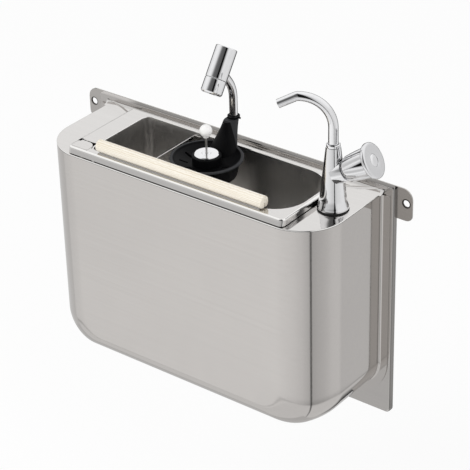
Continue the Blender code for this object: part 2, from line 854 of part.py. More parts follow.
def make_rinse_bowl():
    """The black bowl: lip, sloped dish, skirt and tower in one moulding, with slots and a socket."""
    under_floor = bowl_floor_drop + bowl_wall
    hole = neck_radius + running_gap
    profile = [
        (bowl_radius - bowl_lip_width / 2, 0.0),
        (bowl_radius, -bowl_lip_drop / 3),
        (bowl_radius, -bowl_lip_drop),
        (skirt_radius, -bowl_lip_drop - bowl_wall / 2),
        (skirt_foot_radius, -skirt_drop),
        (skirt_foot_radius - bowl_wall, -skirt_drop),
        (skirt_radius - bowl_wall - running_gap, -bowl_lip_drop - bowl_wall),
        (bowl_floor_radius + bowl_wall / 2, -under_floor),
        (hole, -under_floor),
        (hole, -bowl_floor_drop),
        (bowl_floor_radius, -bowl_floor_drop),
        (bowl_slope_radius, -bowl_slope_drop),
        (bowl_radius - bowl_lip_width, 0.0),
    ]
    bowl = turned("rinse_bowl", profile, black_plastic, bowl_place, wide_steps)
    tower = put("tower", tower_mesh(), None, bowl_place)
    join(bowl, tower, "UNION")
    socket = turned("riser_socket", rod_profile(riser_radius + running_gap, tower_height - riser_socket_depth,
                                                tower_height + overrun), None,
                    (bowl_x, bowl_y + tube_reach, bowl_rim_z), hidden_steps)
    join(bowl, socket, "DIFFERENCE")
    for index in range(slot_count):
        angle = -math.pi / 2 + (index - (slot_count - 1) / 2) * slot_spacing
        middle = (slot_inner_radius + slot_outer_radius) / 2
        half_length = (slot_outer_radius - slot_inner_radius) / 2
        slot = block("drain_slot_" + str(index), (-half_length, -slot_width / 2, -under_floor - overrun),
                     (half_length, slot_width / 2, overrun))
        slot.location = (bowl_x + middle * math.cos(angle), bowl_y + middle * math.sin(angle),
                         bowl_rim_z - bowl_floor_drop / 2)
        slot.rotation_euler = (0.0, 0.0, angle)
        join(bowl, slot, "DIFFERENCE")


def make_press_valve():
    """The press valve: housing, disc, stem, seal, spring and knob on the bowl's axis."""
    shoulder = -bowl_floor_drop + gap
    turned("valve_housing", [
        (housing_radius, housing_top), (housing_radius, shoulder), (neck_radius, shoulder),
        (neck_radius, -neck_drop), (water_way_radius, -neck_drop), (water_way_radius, -chamber_drop),
        (chamber_radius, -chamber_drop), (chamber_radius, housing_top)],
        black_plastic, bowl_place)
    disc_low = housing_top + gap
    disc_high = disc_low + disc_thickness
    stem_hole = stem_radius + running_gap
    turned("valve_disc", [(disc_radius - disc_thickness / 2, disc_high), (disc_radius, disc_low + disc_thickness / 2),
                          (disc_radius, disc_low), (stem_hole, disc_low), (stem_hole, disc_high)],
           chrome, bowl_place)
    knob_low = knob_centre_height - knob_half_height
    collar_top = -stem_collar_drop
    collar_low = collar_top - stem_collar_height
    stem = [(0.0, knob_low + knob_half_height / 2), (stem_radius, knob_low + knob_half_height / 2),
            (stem_radius, collar_top), (stem_collar_radius, collar_top), (stem_collar_radius, collar_low),
            (stem_radius, collar_low), (stem_radius, -stem_end_drop), (0.0, -stem_end_drop)]
    turned("plunger_stem", stem, chrome, bowl_place, hidden_steps)
    seal_top = -stem_end_drop - gap
    turned("valve_seal", rod_profile(seal_radius, seal_top - seal_height, seal_top), rubber, bowl_place,
           hidden_steps)
    knob = []
    for degrees in range(90, -61, -25):
        angle = math.radians(degrees)
        knob.append((knob_radius * math.cos(angle), knob_radius * math.sin(angle)))
    socket = stem_radius + gap
    knob[0] = (0.0, knob_radius)
    knob += [(knob_neck_radius, -knob_half_height), (socket, -knob_half_height),
             (socket, -knob_half_height / 2 + gap), (0.0, -knob_half_height / 2 + gap)]
    turned("press_knob", knob, white_plastic, (bowl_x, bowl_y, bowl_rim_z + knob_centre_height), 20)
    top = collar_low - gap - spring_wire_radius
    low = -chamber_drop + gap + spring_wire_radius
    route = []
    count = spring_turns * spring_points_per_turn
    for index in range(count + 1):
        angle = math.tau * index / spring_points_per_turn
        height = low + (top - low) * index / count
        route.append(((spring_radius - spring_wire_radius) * math.cos(angle),
                      (spring_radius - spring_wire_radius) * math.sin(angle), height))
    tube("return_spring", route, spring_wire_radius, spring_steel, at=bowl_place, bevel_resolution=1)


def make_standpipe():
    """The standpipe from the bowl down through the basin floor, with its washer and nut."""
    flange_top = bowl_rim_z - bowl_floor_drop - bowl_wall - gap
    flange_low = flange_top - standpipe_flange_height
    end = basin_floor - standpipe_tail
    neck_end = bowl_rim_z - neck_drop - gap
    socket = neck_radius + running_gap
    turned("standpipe", [
        (standpipe_flange_radius, flange_top), (standpipe_flange_radius, flange_low),
        (standpipe_radius, flange_low), (standpipe_radius, end), (standpipe_bore, end),
        (standpipe_bore, neck_end), (socket, neck_end), (socket, flange_top)],
        black_plastic, (bowl_x, bowl_y, 0.0), 24)
    washer_top = basin_floor - thin_sheet - gap
    turned("standpipe_washer", sleeve_profile(standpipe_flange_radius, standpipe_radius + running_gap,
                                              washer_top - washer_height, washer_top), rubber,
           (bowl_x, bowl_y, 0.0), hidden_steps)
    nut_top = washer_top - washer_height - gap
    hex_nut("standpipe_nut", nut_reach, standpipe_radius, nut_top, (bowl_x, bowl_y, 0.0), black_plastic)


def hex_nut(name, reach, bore, top, at, finish):
    """A hexagonal nut that hangs below a height, bored for its thread."""
    nut = turned(name, rod_profile(reach, top - nut_height, top), finish, at, 6)
    hole = turned(name + "_bore", rod_profile(bore + running_gap, top - nut_height - overrun, top + overrun),
                  None, at, hidden_steps)
    join(nut, hole, "DIFFERENCE")


tube_place = (bowl_x, bowl_y + tube_reach, 0.0)


def make_riser():
    """The bent riser tube in the tower's socket, with its collar."""
    socket_floor = bowl_rim_z + tower_height - riser_socket_depth + gap
    lean = Vector((0.0, -math.sin(riser_lean), math.cos(riser_lean)))
    corner = Vector((0.0, 0.0, riser_bend_height))
    route = rounded_route([(0.0, 0.0, socket_floor), corner, corner + lean * riser_run],
                          riser_bend_radius, 7)
    tube("riser_tube", route, riser_radius, chrome, riser_wall, tube_place, bevel_resolution=4)
    seat = bowl_rim_z + tower_height + gap
    collar = turned("riser_collar", sleeve_profile(riser_radius + running_gap + collar_wall,
                                                   riser_radius + running_gap, seat, seat + collar_height),
                    black_plastic, tube_place, 24)
    lug = turned("collar_lug", rod_profile(lug_radius, riser_radius + collar_wall / 2, lug_reach), None,
                 (tube_place[0], tube_place[1], seat + collar_height / 2), hidden_steps,
                 spin=(0.0, math.pi / 2, 0.0))
    join(collar, lug, "UNION")
    return corner + lean * riser_run, lean


def make_spray_head(tube_end, lean):
    """The barrel with its side pocket for the riser, the turning ring and the outlet plate."""
    head = axis("head_axis", (bowl_x, head_centre_y, head_centre_z), (-head_tilt, 0.0, 0.0))
    top = head_length / 2
    split = ring_length - head_length / 2
    bore = ring_neck_radius + running_gap
    bore_top = split + ring_neck_length + running_gap
    barrel = turned("spray_head", [
        (0.0, top), (head_radius - head_edge, top), (head_radius, top - head_edge),
        (head_radius, split + gap + head_edge), (head_radius - head_edge, split + gap),
        (bore, split + gap), (bore, bore_top), (0.0, bore_top)], chrome, (0.0, 0.0, 0.0), parent=head)
    end = Vector(tube_place) + tube_end
    pocket = tube("riser_pocket", [end - lean * head_radius, end + lean * gap], riser_radius + running_gap,
                  None, bevel_resolution=4)
    join(barrel, pocket, "DIFFERENCE")
    foot = -head_length / 2
    seat = foot + plate_recess + plate_thickness
    turned("nozzle_ring", [
        (ring_neck_radius, split + ring_neck_length), (ring_neck_radius, split),
        (head_radius - head_edge, split), (head_radius, split - head_edge),
        (head_radius, foot + ring_chamfer), (head_radius - ring_chamfer, foot),
        (ring_bore + running_gap, foot), (ring_bore + running_gap, seat),
        (ring_bore - collar_wall, seat + gap), (ring_bore - collar_wall, split + ring_neck_length)],
        chrome, (0.0, 0.0, 0.0), parent=head)
    plate = turned("spray_plate", rod_profile(ring_bore, seat - plate_thickness, seat - gap), black_plastic,
                   (0.0, 0.0, 0.0), 24, parent=head)
    for index in range(plate_hole_count):
        angle = math.tau * (index + hole_phase_share) / plate_hole_count
        hole = turned("spray_hole_" + str(index),
                      rod_profile(plate_hole_radius, seat - plate_thickness - overrun, seat + overrun), None,
                      (plate_hole_orbit * math.cos(angle), plate_hole_orbit * math.sin(angle), 0.0), 8,
                      parent=head)
        join(plate, hole, "DIFFERENCE")


tap_place = (tap_x, tap_y, deck_top)


def make_tap_body(valve):
    """The conical pillar with its bores and the boss of its side valve."""
    foot = 2 * gap + gasket_height
    turned("tap_gasket", sleeve_profile(tap_base_radius, shank_radius + running_gap, gap,
                                        gap + gasket_height), rubber, tap_place)
    socket_floor = tap_top_height - spout_socket_drop
    profile = [
        (0.0, socket_floor), (spout_radius + running_gap, socket_floor),
        (spout_radius + running_gap, tap_top_height), (tap_top_radius, tap_top_height),
        (tap_waist_radius, tap_waist_height), (tap_base_radius, tap_foot_height), (tap_base_radius, foot),
        (shank_radius + running_gap, foot), (shank_radius + running_gap, shank_lift + gap),
        (0.0, shank_lift + gap)]
    body = turned("tap_body", profile, chrome, tap_place)
    boss = turned("valve_boss", [
        (0.0, boss_end), (boss_radius - head_edge, boss_end), (boss_radius, boss_end - head_edge),
        (boss_radius, boss_start), (0.0, boss_start)], None, (0.0, 0.0, 0.0), visible_steps, parent=valve)
    join(body, boss, "UNION")
    seat = turned("valve_seat", rod_profile(bonnet_nose_radius + running_gap, seat_start,
                                            boss_end + overrun), None, (0.0, 0.0, 0.0), 20, parent=valve)
    join(body, seat, "DIFFERENCE")
    water_way = turned("water_way", rod_profile(tap_water_way, shank_lift, socket_floor + overrun), None,
                       tap_place, hidden_steps)
    join(body, water_way, "DIFFERENCE")
    turned("spout_collar", [
        (spout_collar_radius - head_edge, tap_top_height + gap + spout_collar_height),
        (spout_collar_radius, tap_top_height + spout_collar_height - head_edge),
        (spout_collar_radius, tap_top_height + gap),
        (spout_radius + running_gap, tap_top_height + gap),
        (spout_radius + running_gap, tap_top_height + gap + spout_collar_height)], chrome, tap_place)
    turned("tap_shank", sleeve_profile(shank_radius, shank_bore, -shank_drop, shank_lift), brass,
           tap_place, hidden_steps)
    washer_top = -sheet - gap
    turned("tap_washer", sleeve_profile(shank_radius + collar_wall * 2, shank_radius + running_gap,
                                        washer_top - washer_height, washer_top), rubber, tap_place,
           hidden_steps)
    hex_nut("tap_back_nut", shank_radius + 2 * collar_wall, shank_radius,
            deck_top + washer_top - washer_height - gap, (tap_x, tap_y, 0.0), brass)


def make_spout():
    """The spout: a leg in the pillar, one wide bend, one tight bend and a short run to its tip."""
    low = tap_top_height - spout_socket_drop + gap
    route = [(0.0, 0.0, low), (0.0, 0.0, tap_top_height)]
    out = 0.0
    height = spout_leg_top
    for step in range(11):
        angle = spout_main_angle * step / 10
        route.append((spout_main_radius * (1 - math.cos(angle)), 0.0,
                      height + spout_main_radius * math.sin(angle)))
    out, _, height = route[-1]
    heading = math.pi / 2 - spout_main_angle
    for step in range(1, 6):
        angle = heading - spout_tip_angle * step / 5
        route.append((out + spout_tip_radius * (math.sin(heading) - math.sin(angle)), 0.0,
                      height + spout_tip_radius * (math.cos(angle) - math.cos(heading))))
    end = heading - spout_tip_angle
    out, _, height = route[-1]
    route.append((out + spout_tip_run * math.cos(end), 0.0, height + spout_tip_run * math.sin(end)))
    tube("spout", route, spout_radius, chrome, spout_wall, tap_place, (0.0, 0.0, spout_heading),
         bevel_resolution=4, tip_share=spout_tip_share)


def make_side_valve(valve):
    """The bonnet, spindle, fluted handwheel and cap on the side valve's axis."""
    nose = seat_start + gap
    flange = boss_end + gap
    bore = spindle_radius + running_gap
    turned("valve_bonnet", [
        (bonnet_radius, bonnet_end), (bonnet_radius, flange + bonnet_flange_height),
        (bonnet_flange_radius, flange + bonnet_flange_height), (bonnet_flange_radius, flange),
        (bonnet_nose_radius, flange), (bonnet_nose_radius, nose), (bore, nose), (bore, bonnet_end)],
        chrome, (0.0, 0.0, 0.0), visible_steps, parent=valve)
    turned("valve_spindle", rod_profile(spindle_radius, spindle_start, spindle_end), brass,
           (0.0, 0.0, 0.0), hidden_steps, parent=valve)
    wheel = turned("handwheel", [
        (0.0, wheel_face_end - cap_recess), (cap_radius + gap, wheel_face_end - cap_recess),
        (cap_radius + gap, wheel_face_end), (wheel_radius - 2 * wheel_edge, wheel_face_end),
        (wheel_radius, wheel_face_end - wheel_edge), (wheel_radius, wheel_face_start + wheel_edge / 2),
        (wheel_radius - wheel_edge, wheel_face_start), (wheel_shoulder_radius, wheel_shoulder),
        (wheel_back_radius, wheel_back), (wheel_cavity_radius, wheel_back),
        (wheel_cavity_radius, wheel_cavity_end), (bore, wheel_cavity_end), (bore, spindle_end + gap),
        (0.0, spindle_end + gap)], chrome, (0.0, 0.0, 0.0), visible_steps, parent=valve)
    slope = math.atan2(wheel_shoulder_radius - wheel_back_radius, wheel_shoulder - wheel_back)
    run = (wheel_shoulder - wheel_back) / math.cos(slope)
    for index in range(flute_count):
        angle = math.tau * (index + 0.5) / flute_count
        holder = axis("flute_axis_" + str(index), (0.0, 0.0, 0.0), (0.0, 0.0, angle))
        holder.parent = valve
        reach = wheel_back_radius + flute_radius * (1 - 2 * flute_depth_share)
        flute = turned("flute_" + str(index), rod_profile(flute_radius, -overrun, run), None,
                       (reach, 0.0, wheel_back), 12, parent=holder, spin=(0.0, slope, 0.0))
        join(wheel, flute, "DIFFERENCE")
    cap_low = wheel_face_end - cap_recess + gap
    turned("wheel_cap", [(0.0, cap_low + cap_height), (cap_radius / 2, cap_low + cap_height),
                         (cap_radius, cap_low + cap_height / 2), (cap_radius, cap_low), (0.0, cap_low)],
           chrome, (0.0, 0.0, 0.0), 24, parent=valve)


drain_place = (drain_x, drain_y, basin_floor)


def make_drain():
    """The drain in the basin floor: flange with its tail, gasket, nut and the lift-out strainer."""
    turned("waste_flange", [
        (drain_flange_radius - drain_flange_height, gap + drain_flange_height), (drain_flange_radius, gap),
        (drain_tail_radius, gap), (drain_tail_radius, -drain_tail_drop),
        (drain_throat_radius, -drain_tail_drop), (drain_throat_radius, gap + drain_flange_height)],
        brushed_steel, drain_place, 24)
    gasket_top = -thin_sheet - gap
    turned("waste_gasket", sleeve_profile(drain_flange_radius, drain_tail_radius + running_gap,
                                          gasket_top - washer_height, gasket_top), rubber, drain_place, 20)
    nut_top = gasket_top - washer_height - gap
    turned("waste_nut", sleeve_profile(drain_flange_radius, drain_tail_radius + running_gap,
                                       nut_top - nut_height, nut_top), grey_plastic, drain_place, 20)
    seat = drain_flange_height + 2 * gap
    plate_top = seat + strainer_thickness
    guide_inner = strainer_guide_radius - strainer_thickness
    strainer = turned("strainer", [
        (0.0, plate_top + strainer_knob_height), (strainer_knob_radius, plate_top + strainer_knob_height),
        (strainer_knob_radius, plate_top), (strainer_radius, plate_top), (strainer_radius, seat),
        (strainer_guide_radius, seat), (strainer_guide_radius, -strainer_guide_drop),
        (guide_inner, -strainer_guide_drop), (guide_inner, seat), (0.0, seat)],
        brushed_steel, drain_place, 24)
    for index in range(strainer_hole_count):
        angle = math.tau * (index + hole_phase_share) / strainer_hole_count
        hole = turned("strainer_hole_" + str(index), rod_profile(strainer_hole_radius, -overrun / 2,
                                                                 plate_top + overrun), None,
                      (drain_x + strainer_hole_orbit * math.cos(angle),
                       drain_y + strainer_hole_orbit * math.sin(angle), basin_floor), 8)
        join(strainer, hole, "DIFFERENCE")


def make_trap():
    """The bottle trap: body on the drain's tail, dip tube, bottom cap and outlet to the wall."""
    inner = trap_radius - trap_wall
    collar_bore = drain_tail_radius + running_gap
    body = turned("trap_body", [
        (trap_collar_radius, -trap_collar_top), (trap_collar_radius, -trap_collar_bottom),
        (trap_radius, -trap_collar_bottom - trap_wall), (trap_radius, -trap_bottom), (inner, -trap_bottom),
        (inner, -trap_collar_bottom - trap_wall), (collar_bore, -trap_collar_bottom),
        (collar_bore, -trap_collar_top)], grey_plastic, drain_place, 24)
    outlet_hole = turned("outlet_hole", rod_profile(outlet_radius + running_gap, outlet_start - overrun,
                                                    trap_radius + overrun), None,
                         (drain_x, drain_y, basin_floor - outlet_drop), 20, spin=(-math.pi / 2, 0.0, 0.0))
    join(body, outlet_hole, "DIFFERENCE")
    flange_top = -drain_tail_drop - gap
    turned("trap_dip_tube", [
        (drain_tail_radius, flange_top), (drain_tail_radius, flange_top - dip_flange_height),
        (dip_radius, flange_top - dip_flange_height), (dip_radius, -dip_drop),
        (dip_radius - dip_wall, -dip_drop), (dip_radius - dip_wall, flange_top)],
        grey_plastic, drain_place, 20)
    cap_low = -trap_bottom - gap - trap_cap_floor
    cap_inner = trap_radius + running_gap
    turned("trap_cap", [
        (trap_cap_radius, cap_low + trap_cap_height), (trap_cap_radius, cap_low), (0.0, cap_low),
        (0.0, cap_low + trap_cap_floor), (cap_inner, cap_low + trap_cap_floor),
        (cap_inner, cap_low + trap_cap_height)], grey_plastic, drain_place, 24)
    turned("trap_outlet", sleeve_profile(outlet_radius, outlet_radius - outlet_wall, outlet_start,
                                         -drain_y - wall_clearance), grey_plastic,
           (drain_x, drain_y, basin_floor - outlet_drop), 20, spin=(-math.pi / 2, 0.0, 0.0))


def make_supply():
    """The tee, the feeds to tap and standpipe, the stop valve with its lever, and the inlet."""
    tee_place = (tap_x, tee_y, tee_z)
    tee = turned("supply_tee", rod_profile(tee_radius, -tee_half_length, tee_half_length), brass, tee_place,
                 hidden_steps)
    branch = turned("tee_branch", rod_profile(tee_radius, 0.0, tee_half_length), None, tee_place,
                    hidden_steps, spin=(0.0, -math.pi / 2, 0.0))
    join(tee, branch, "UNION")
    ports = {"top": (0.0, 0.0, 0.0), "low": (math.pi, 0.0, 0.0), "side": (0.0, -math.pi / 2, 0.0)}
    for port, spin in ports.items():
        bore = turned("tee_port_" + port, rod_profile(pipe_radius + running_gap,
                                                      tee_half_length - port_depth,
                                                      tee_half_length + overrun),
                      None, tee_place, hidden_steps, spin=spin)
        join(tee, bore, "DIFFERENCE")
    pipe_end = tee_half_length - port_depth + gap
    shank_end = deck_top - shank_drop
    tap_route = rounded_route([
        (tap_x, tap_y, shank_end + feed_start_lift), (tap_x, tap_y, shank_end - feed_knee_top),
        (tap_x, tee_y, tee_z + tee_half_length + feed_knee_bottom), (tap_x, tee_y, tee_z + pipe_end)],
        pipe_bend)
    tube("tap_feed_pipe", tap_route, pipe_radius, copper, bevel_resolution=2)
    stand_end = basin_floor - standpipe_tail
    rinse_route = rounded_route([
        (bowl_x, bowl_y, stand_end + feed_start_lift), (bowl_x, bowl_y, tee_z),
        (rinse_knee_x, tee_y, tee_z), (tap_x - pipe_end, tee_y, tee_z)], pipe_bend)
    tube("rinse_feed_pipe", rinse_route, pipe_radius, copper, bevel_resolution=2)
    valve_place = (tap_x, tee_y, stop_valve_z)
    spigot_top = tee_z - pipe_end - stop_valve_z
    stop_valve = turned("stop_valve", [
        (0.0, spigot_top), (pipe_radius, spigot_top), (pipe_radius, stop_valve_half_length),
        (stop_valve_radius, stop_valve_half_length), (stop_valve_radius, -stop_valve_half_length),
        (0.0, -stop_valve_half_length)], chrome, valve_place, hidden_steps)
    cross = turned("stop_valve_cross", rod_profile(tee_radius, -stop_port_reach, stop_port_reach), None,
                   valve_place, hidden_steps, spin=(-math.pi / 2, 0.0, 0.0))
    join(stop_valve, cross, "UNION")
    inlet_bore = turned("inlet_bore", rod_profile(pipe_radius + running_gap, stop_port_reach - port_depth,
                                                  stop_port_reach + overrun), None, valve_place,
                        hidden_steps, spin=(-math.pi / 2, 0.0, 0.0))
    join(stop_valve, inlet_bore, "DIFFERENCE")
    spindle_bore = turned("stop_spindle_bore", rod_profile(stop_spindle_radius + running_gap,
                                                           stop_port_reach - port_depth,
                                                           stop_port_reach + overrun), None, valve_place,
                          hidden_steps, spin=(math.pi / 2, 0.0, 0.0))
    join(stop_valve, spindle_bore, "DIFFERENCE")
    turned("inlet_pipe", rod_profile(pipe_radius, stop_port_reach - port_depth + gap,
                                     -tee_y - wall_clearance), copper, valve_place, hidden_steps,
           spin=(-math.pi / 2, 0.0, 0.0))
    half_width = lever_width / 2
    outline = arc((0.0, 0.0), half_width + lever_boss_margin / 2, 0, 180, 6)
    outline += arc((0.0, -lever_length + half_width), half_width, 180, 360, 6)
    lever_y = tee_y - stop_port_reach - gap - lever_thickness / 2
    lever = prism("stop_handle", outline, lever_thickness, chrome, (tap_x, lever_y, stop_valve_z), "XZ")
    pin = turned("stop_pin", rod_profile(stop_spindle_radius, 0.0,
                                         lever_thickness / 2 + port_depth - gap), None,
                 (tap_x, lever_y, stop_valve_z), hidden_steps, spin=(-math.pi / 2, 0.0, 0.0))
    join(lever, pin, "UNION")


make_wall_panel()
make_hanging_strap()
make_outer_shell()
make_deck_plate()
make_tray_rim()
make_basin_bowl()
make_divider()
make_wiping_bar()
make_rinse_bowl()
make_press_valve()
make_standpipe()
riser_end, riser_direction = make_riser()
make_spray_head(riser_end, riser_direction)
valve_place = (tap_x, tap_y, deck_top + valve_height)
valve_axis = axis("valve_axis", valve_place, (0.0, math.pi / 2 - valve_lift, valve_turn))
make_tap_body(valve_axis)
make_spout()
make_side_valve(valve_axis)
make_drain()
make_trap()
make_supply()
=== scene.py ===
"""Looks of a wall-hung rinse sink for scoops: fine metal, plastic and wood surfaces round its solids.

Metres, +Z up, -Y towards the user, origin on the wall face between the two fixing holes.
"""

import math

import bmesh
import bpy
import numpy as np
from mathutils import Euler, Matrix, Vector


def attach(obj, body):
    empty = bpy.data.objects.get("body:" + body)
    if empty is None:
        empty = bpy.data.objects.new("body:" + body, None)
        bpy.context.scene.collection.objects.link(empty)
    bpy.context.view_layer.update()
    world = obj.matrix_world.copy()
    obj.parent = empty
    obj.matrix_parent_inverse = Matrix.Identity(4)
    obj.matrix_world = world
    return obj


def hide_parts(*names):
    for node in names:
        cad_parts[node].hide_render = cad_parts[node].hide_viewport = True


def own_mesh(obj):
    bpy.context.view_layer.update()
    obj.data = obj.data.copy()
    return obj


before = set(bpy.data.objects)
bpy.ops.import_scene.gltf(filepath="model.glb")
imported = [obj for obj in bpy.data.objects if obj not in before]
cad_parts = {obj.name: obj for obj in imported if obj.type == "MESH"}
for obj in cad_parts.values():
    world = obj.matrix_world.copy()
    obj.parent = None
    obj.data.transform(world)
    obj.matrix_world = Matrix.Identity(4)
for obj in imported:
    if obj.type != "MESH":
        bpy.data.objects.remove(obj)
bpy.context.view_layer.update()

TURN = 2 * math.pi

# Places and sizes that pieces share
SHEET = 0.0015
GAP = 0.0003
DECK = 0.009
RIM_TOP = 0.0203
BASIN_TOP = 0.0188
BASIN_FLOOR = -0.1412
DRAIN = np.array([0.110, -0.100])
PANEL_FACE = 0.008
FLANGE_FACE = 0.0098
FLANGE_WIDTH = 0.014
FLANGE_FILLET = 0.004
HALF_WIDTH = 0.250
DEPTH = 0.171
PAN_BOTTOM = -0.326
PAN_CORNER = 0.054
SIDE_FILLET = 0.0676
LOW_FILLET = 0.028
EAR_HOLES = 0.2860
BOWL = Vector((0.002, -0.0875, 0.0266))
TOWER_TOP = 0.0355
RISER = BOWL + Vector((0.0, 0.0651, 0.0))
TAP = Vector((0.218, -0.082, DECK))


# Surfaces

def surface(name, points, around=False, ends=(False, False), wall=0.0, angle=30.0, merge=True,
            flip=False):
    """A mesh through a grid of points, one quad between each four neighbours.

    The rows follow the first index. The columns close round when around is true, and an end row is
    filled by one face where ends asks for it. A wall gives an open skin its thickness on its back.
    """
    points = np.asarray(points, dtype=float)
    rows, columns = points.shape[:2]
    index = np.arange(rows * columns).reshape(rows, columns)
    if around:
        index = np.hstack([index, index[:, :1]])
    quads = np.stack([index[:-1, :-1], index[1:, :-1], index[1:, 1:], index[:-1, 1:]], axis=-1)
    faces = quads.reshape(-1, 4).tolist()
    if ends[0]:
        faces.append(index[0, :columns].tolist())
    if ends[1]:
        faces.append(index[-1, :columns][::-1].tolist())
    if flip:
        faces = [face[::-1] for face in faces]
    mesh = bpy.data.meshes.new(name)
    mesh.from_pydata(points.reshape(-1, 3).tolist(), [], faces)
    body = bmesh.new()
    body.from_mesh(mesh)
    if merge:
        bmesh.ops.remove_doubles(body, verts=body.verts, dist=1e-6)
    if wall == 0.0 and not any(edge.is_boundary for edge in body.edges):
        bmesh.ops.recalc_face_normals(body, faces=body.faces)
    body.to_mesh(mesh)
    body.free()
    mesh.shade_smooth()
    mesh.set_sharp_from_angle(angle=math.radians(angle))
    piece = bpy.data.objects.new(name, mesh)
    bpy.context.scene.collection.objects.link(piece)
    if wall:
        solid = piece.modifiers.new("wall", "SOLIDIFY")
        solid.thickness = wall
        solid.offset = -1.0
        solid.use_even_offset = True
        settle(piece, angle)
    return piece


def block(name, points):
    """A closed surface: it closes round and both its ends are filled."""
    return surface(name, points, around=True, ends=(True, True))


def placed(points, at=(0.0, 0.0, 0.0), turn=None):
    """Points turned by a 3 x 3 matrix and then moved."""
    if turn is not None:
        points = points @ np.array(turn).T
    return points + np.array(at)


def unit(angle):
    """The direction (cos a, sin a) of each angle a."""
    return np.stack([np.cos(angle), np.sin(angle)], axis=-1)


def directions(path):
    """The direction of a path at each of its points."""
    ahead = np.gradient(path, axis=0)
    return ahead / np.linalg.norm(ahead, axis=1, keepdims=True)


def softened(profile, radius, steps=4):
    """An outline whose corners are rounded: each of them becomes a short quadratic curve."""
    corner = profile[1:-1]
    back = profile[:-2] - corner
    ahead = profile[2:] - corner
    back_length = np.linalg.norm(back, axis=1, keepdims=True)
    ahead_length = np.linalg.norm(ahead, axis=1, keepdims=True)
    reach = np.minimum(radius, 0.45 * np.minimum(back_length, ahead_length))
    start = corner + back / back_length * reach
    end = corner + ahead / ahead_length * reach
    share = np.linspace(0, 1, steps + 1)[None, :, None]
    curve = ((1 - share) ** 2 * start[:, None] + 2 * share * (1 - share) * corner[:, None]
             + share ** 2 * end[:, None])
    return np.vstack([profile[:1], curve.reshape(-1, profile.shape[1]), profile[-1:]])


def grid(x, y, z):
    """Points from coordinates that spread over each other's rows and columns."""
    return np.stack(np.broadcast_arrays(x, y, z), axis=-1)


def about_axis(radius, angle, height):
    """Points round an upright axis: (r cos a, r sin a, z) for radii r, angles a and heights z."""
    return grid(radius * np.cos(angle), radius * np.sin(angle), height)


def turned(name, profile, at=(0.0, 0.0, 0.0), turn=None, soft=0.0, steps=96):
    """A profile of (radius, height) pairs turned about its axis, closed where it keeps off the axis."""
    profile = np.asarray(profile, dtype=float)
    if profile[0, 0] > 0:
        profile = np.vstack([profile, profile[:1]])
    if soft:
        profile = softened(profile, soft)
    angle = np.linspace(0, TURN, steps, endpoint=False)
    points = about_axis(profile[:, :1], angle, profile[:, 1:])
    return surface(name, placed(points, at, turn), around=True)


def rod(name, radius, low, high, at, turn=None, steps=48):
    """A plain round rod between two heights on its axis."""
    return turned(name, [(0.0, high), (radius, high), (radius, low), (0.0, low)], at, turn, steps=steps)


def tube(name, flat, at, heading, radius, bore=0.001, steps=56):
    """A round tube along a path of (out, up) points, which stands at a place with out along a heading.

    Each of its rings is square to the path's direction. There is one radius, or one for each point of
    the path. The skin goes back along the inside, which is a wall thickness smaller.
    """
    out = np.array([*unit(heading), 0.0])
    side = np.array([-out[1], out[0], 0.0])
    path = np.array(at) + flat[:, :1] * out + flat[:, 1:] * (0.0, 0.0, 1.0)
    up = np.cross(side, directions(path))
    angle = np.linspace(0, TURN, steps, endpoint=False)[:, None]
    ring = np.cos(angle) * side + np.sin(angle) * up[:, None]
    radius = np.broadcast_to(radius, len(path))[:, None, None]
    outside = path[:, None] + radius * ring
    inside = path[:, None] + (radius - bore) * ring
    return surface(name, np.vstack([outside, inside[::-1], outside[:1]]), around=True)


def bent_path(start, runs, steps):
    """A flat path in (out, up) coordinates, made of straight runs and arcs.

    Each run is (length, radius, angle): a straight length, then an arc that leans towards +out.
    """
    places = [np.array(start, dtype=float)]
    heading = math.pi / 2
    for length, radius, angle in runs:
        if length:
            places += [places[-1] + length * share * unit(heading) for share in (0.25, 0.5, 0.75, 1.0)]
        if radius:
            upward = heading + math.pi / 2
            centre = places[-1] - radius * unit(upward)
            places += list(centre + radius * unit(upward - angle * np.linspace(0, 1, steps + 1)[1:]))
            heading -= angle
    return np.array(places)


def rounded_loop(left, right, front, back, radii, outward=0.0, per_corner=16, per_side=14):
    """A rectangle with rounded corners, counter-clockwise from its right front corner, moved outward.

    radii go right front, right back, left back, left front. Every loop of the same counts has the same
    number of points in the same order, so any two of them can be joined row to row.
    """
    radii = np.maximum(np.asarray(radii, dtype=float) + outward, 1e-5)
    x = np.array([right + outward, right + outward, left - outward, left - outward])
    y = np.array([front - outward, back + outward, back + outward, front - outward])
    centres = np.column_stack([x + radii * (-1, -1, 1, 1), y + radii * (1, -1, -1, 1)])
    angle = np.radians(np.linspace(0, 90, per_corner) + 90 * np.arange(-1, 3)[:, None])
    corners = centres[:, None] + radii[:, None, None] * unit(angle)
    share = np.linspace(0, 1, per_side + 2)[1:-1, None]
    sides = corners[:, -1:] * (1 - share) + np.roll(corners, -1, axis=0)[:, :1] * share
    return np.concatenate([corners, sides], axis=1).reshape(-1, 2)


def ring_rows(rows):
    """Loops of (x, y) points with their heights, as one grid of points."""
    return np.stack([np.column_stack([loop, np.full(len(loop), height)]) for loop, height in rows])


def rolled_rows(box, radius, end, steps, outward=0.0, rise=1.0):
    """Loops that turn inward from an upright side to a level face, with their heights.

    For angles a up to 90 degrees they stand r (1 - cos a) inward and r (1 - sin a) below the end, or
    above it where rise is -1. box is all that rounded_loop needs of its shape.
    """
    rows = []
    for angle in np.radians(np.linspace(0, 90, steps)):
        loop = rounded_loop(*box, outward - radius * (1 - math.cos(angle)))
        rows.append((loop, end - rise * radius * (1 - math.sin(angle))))
    return rows


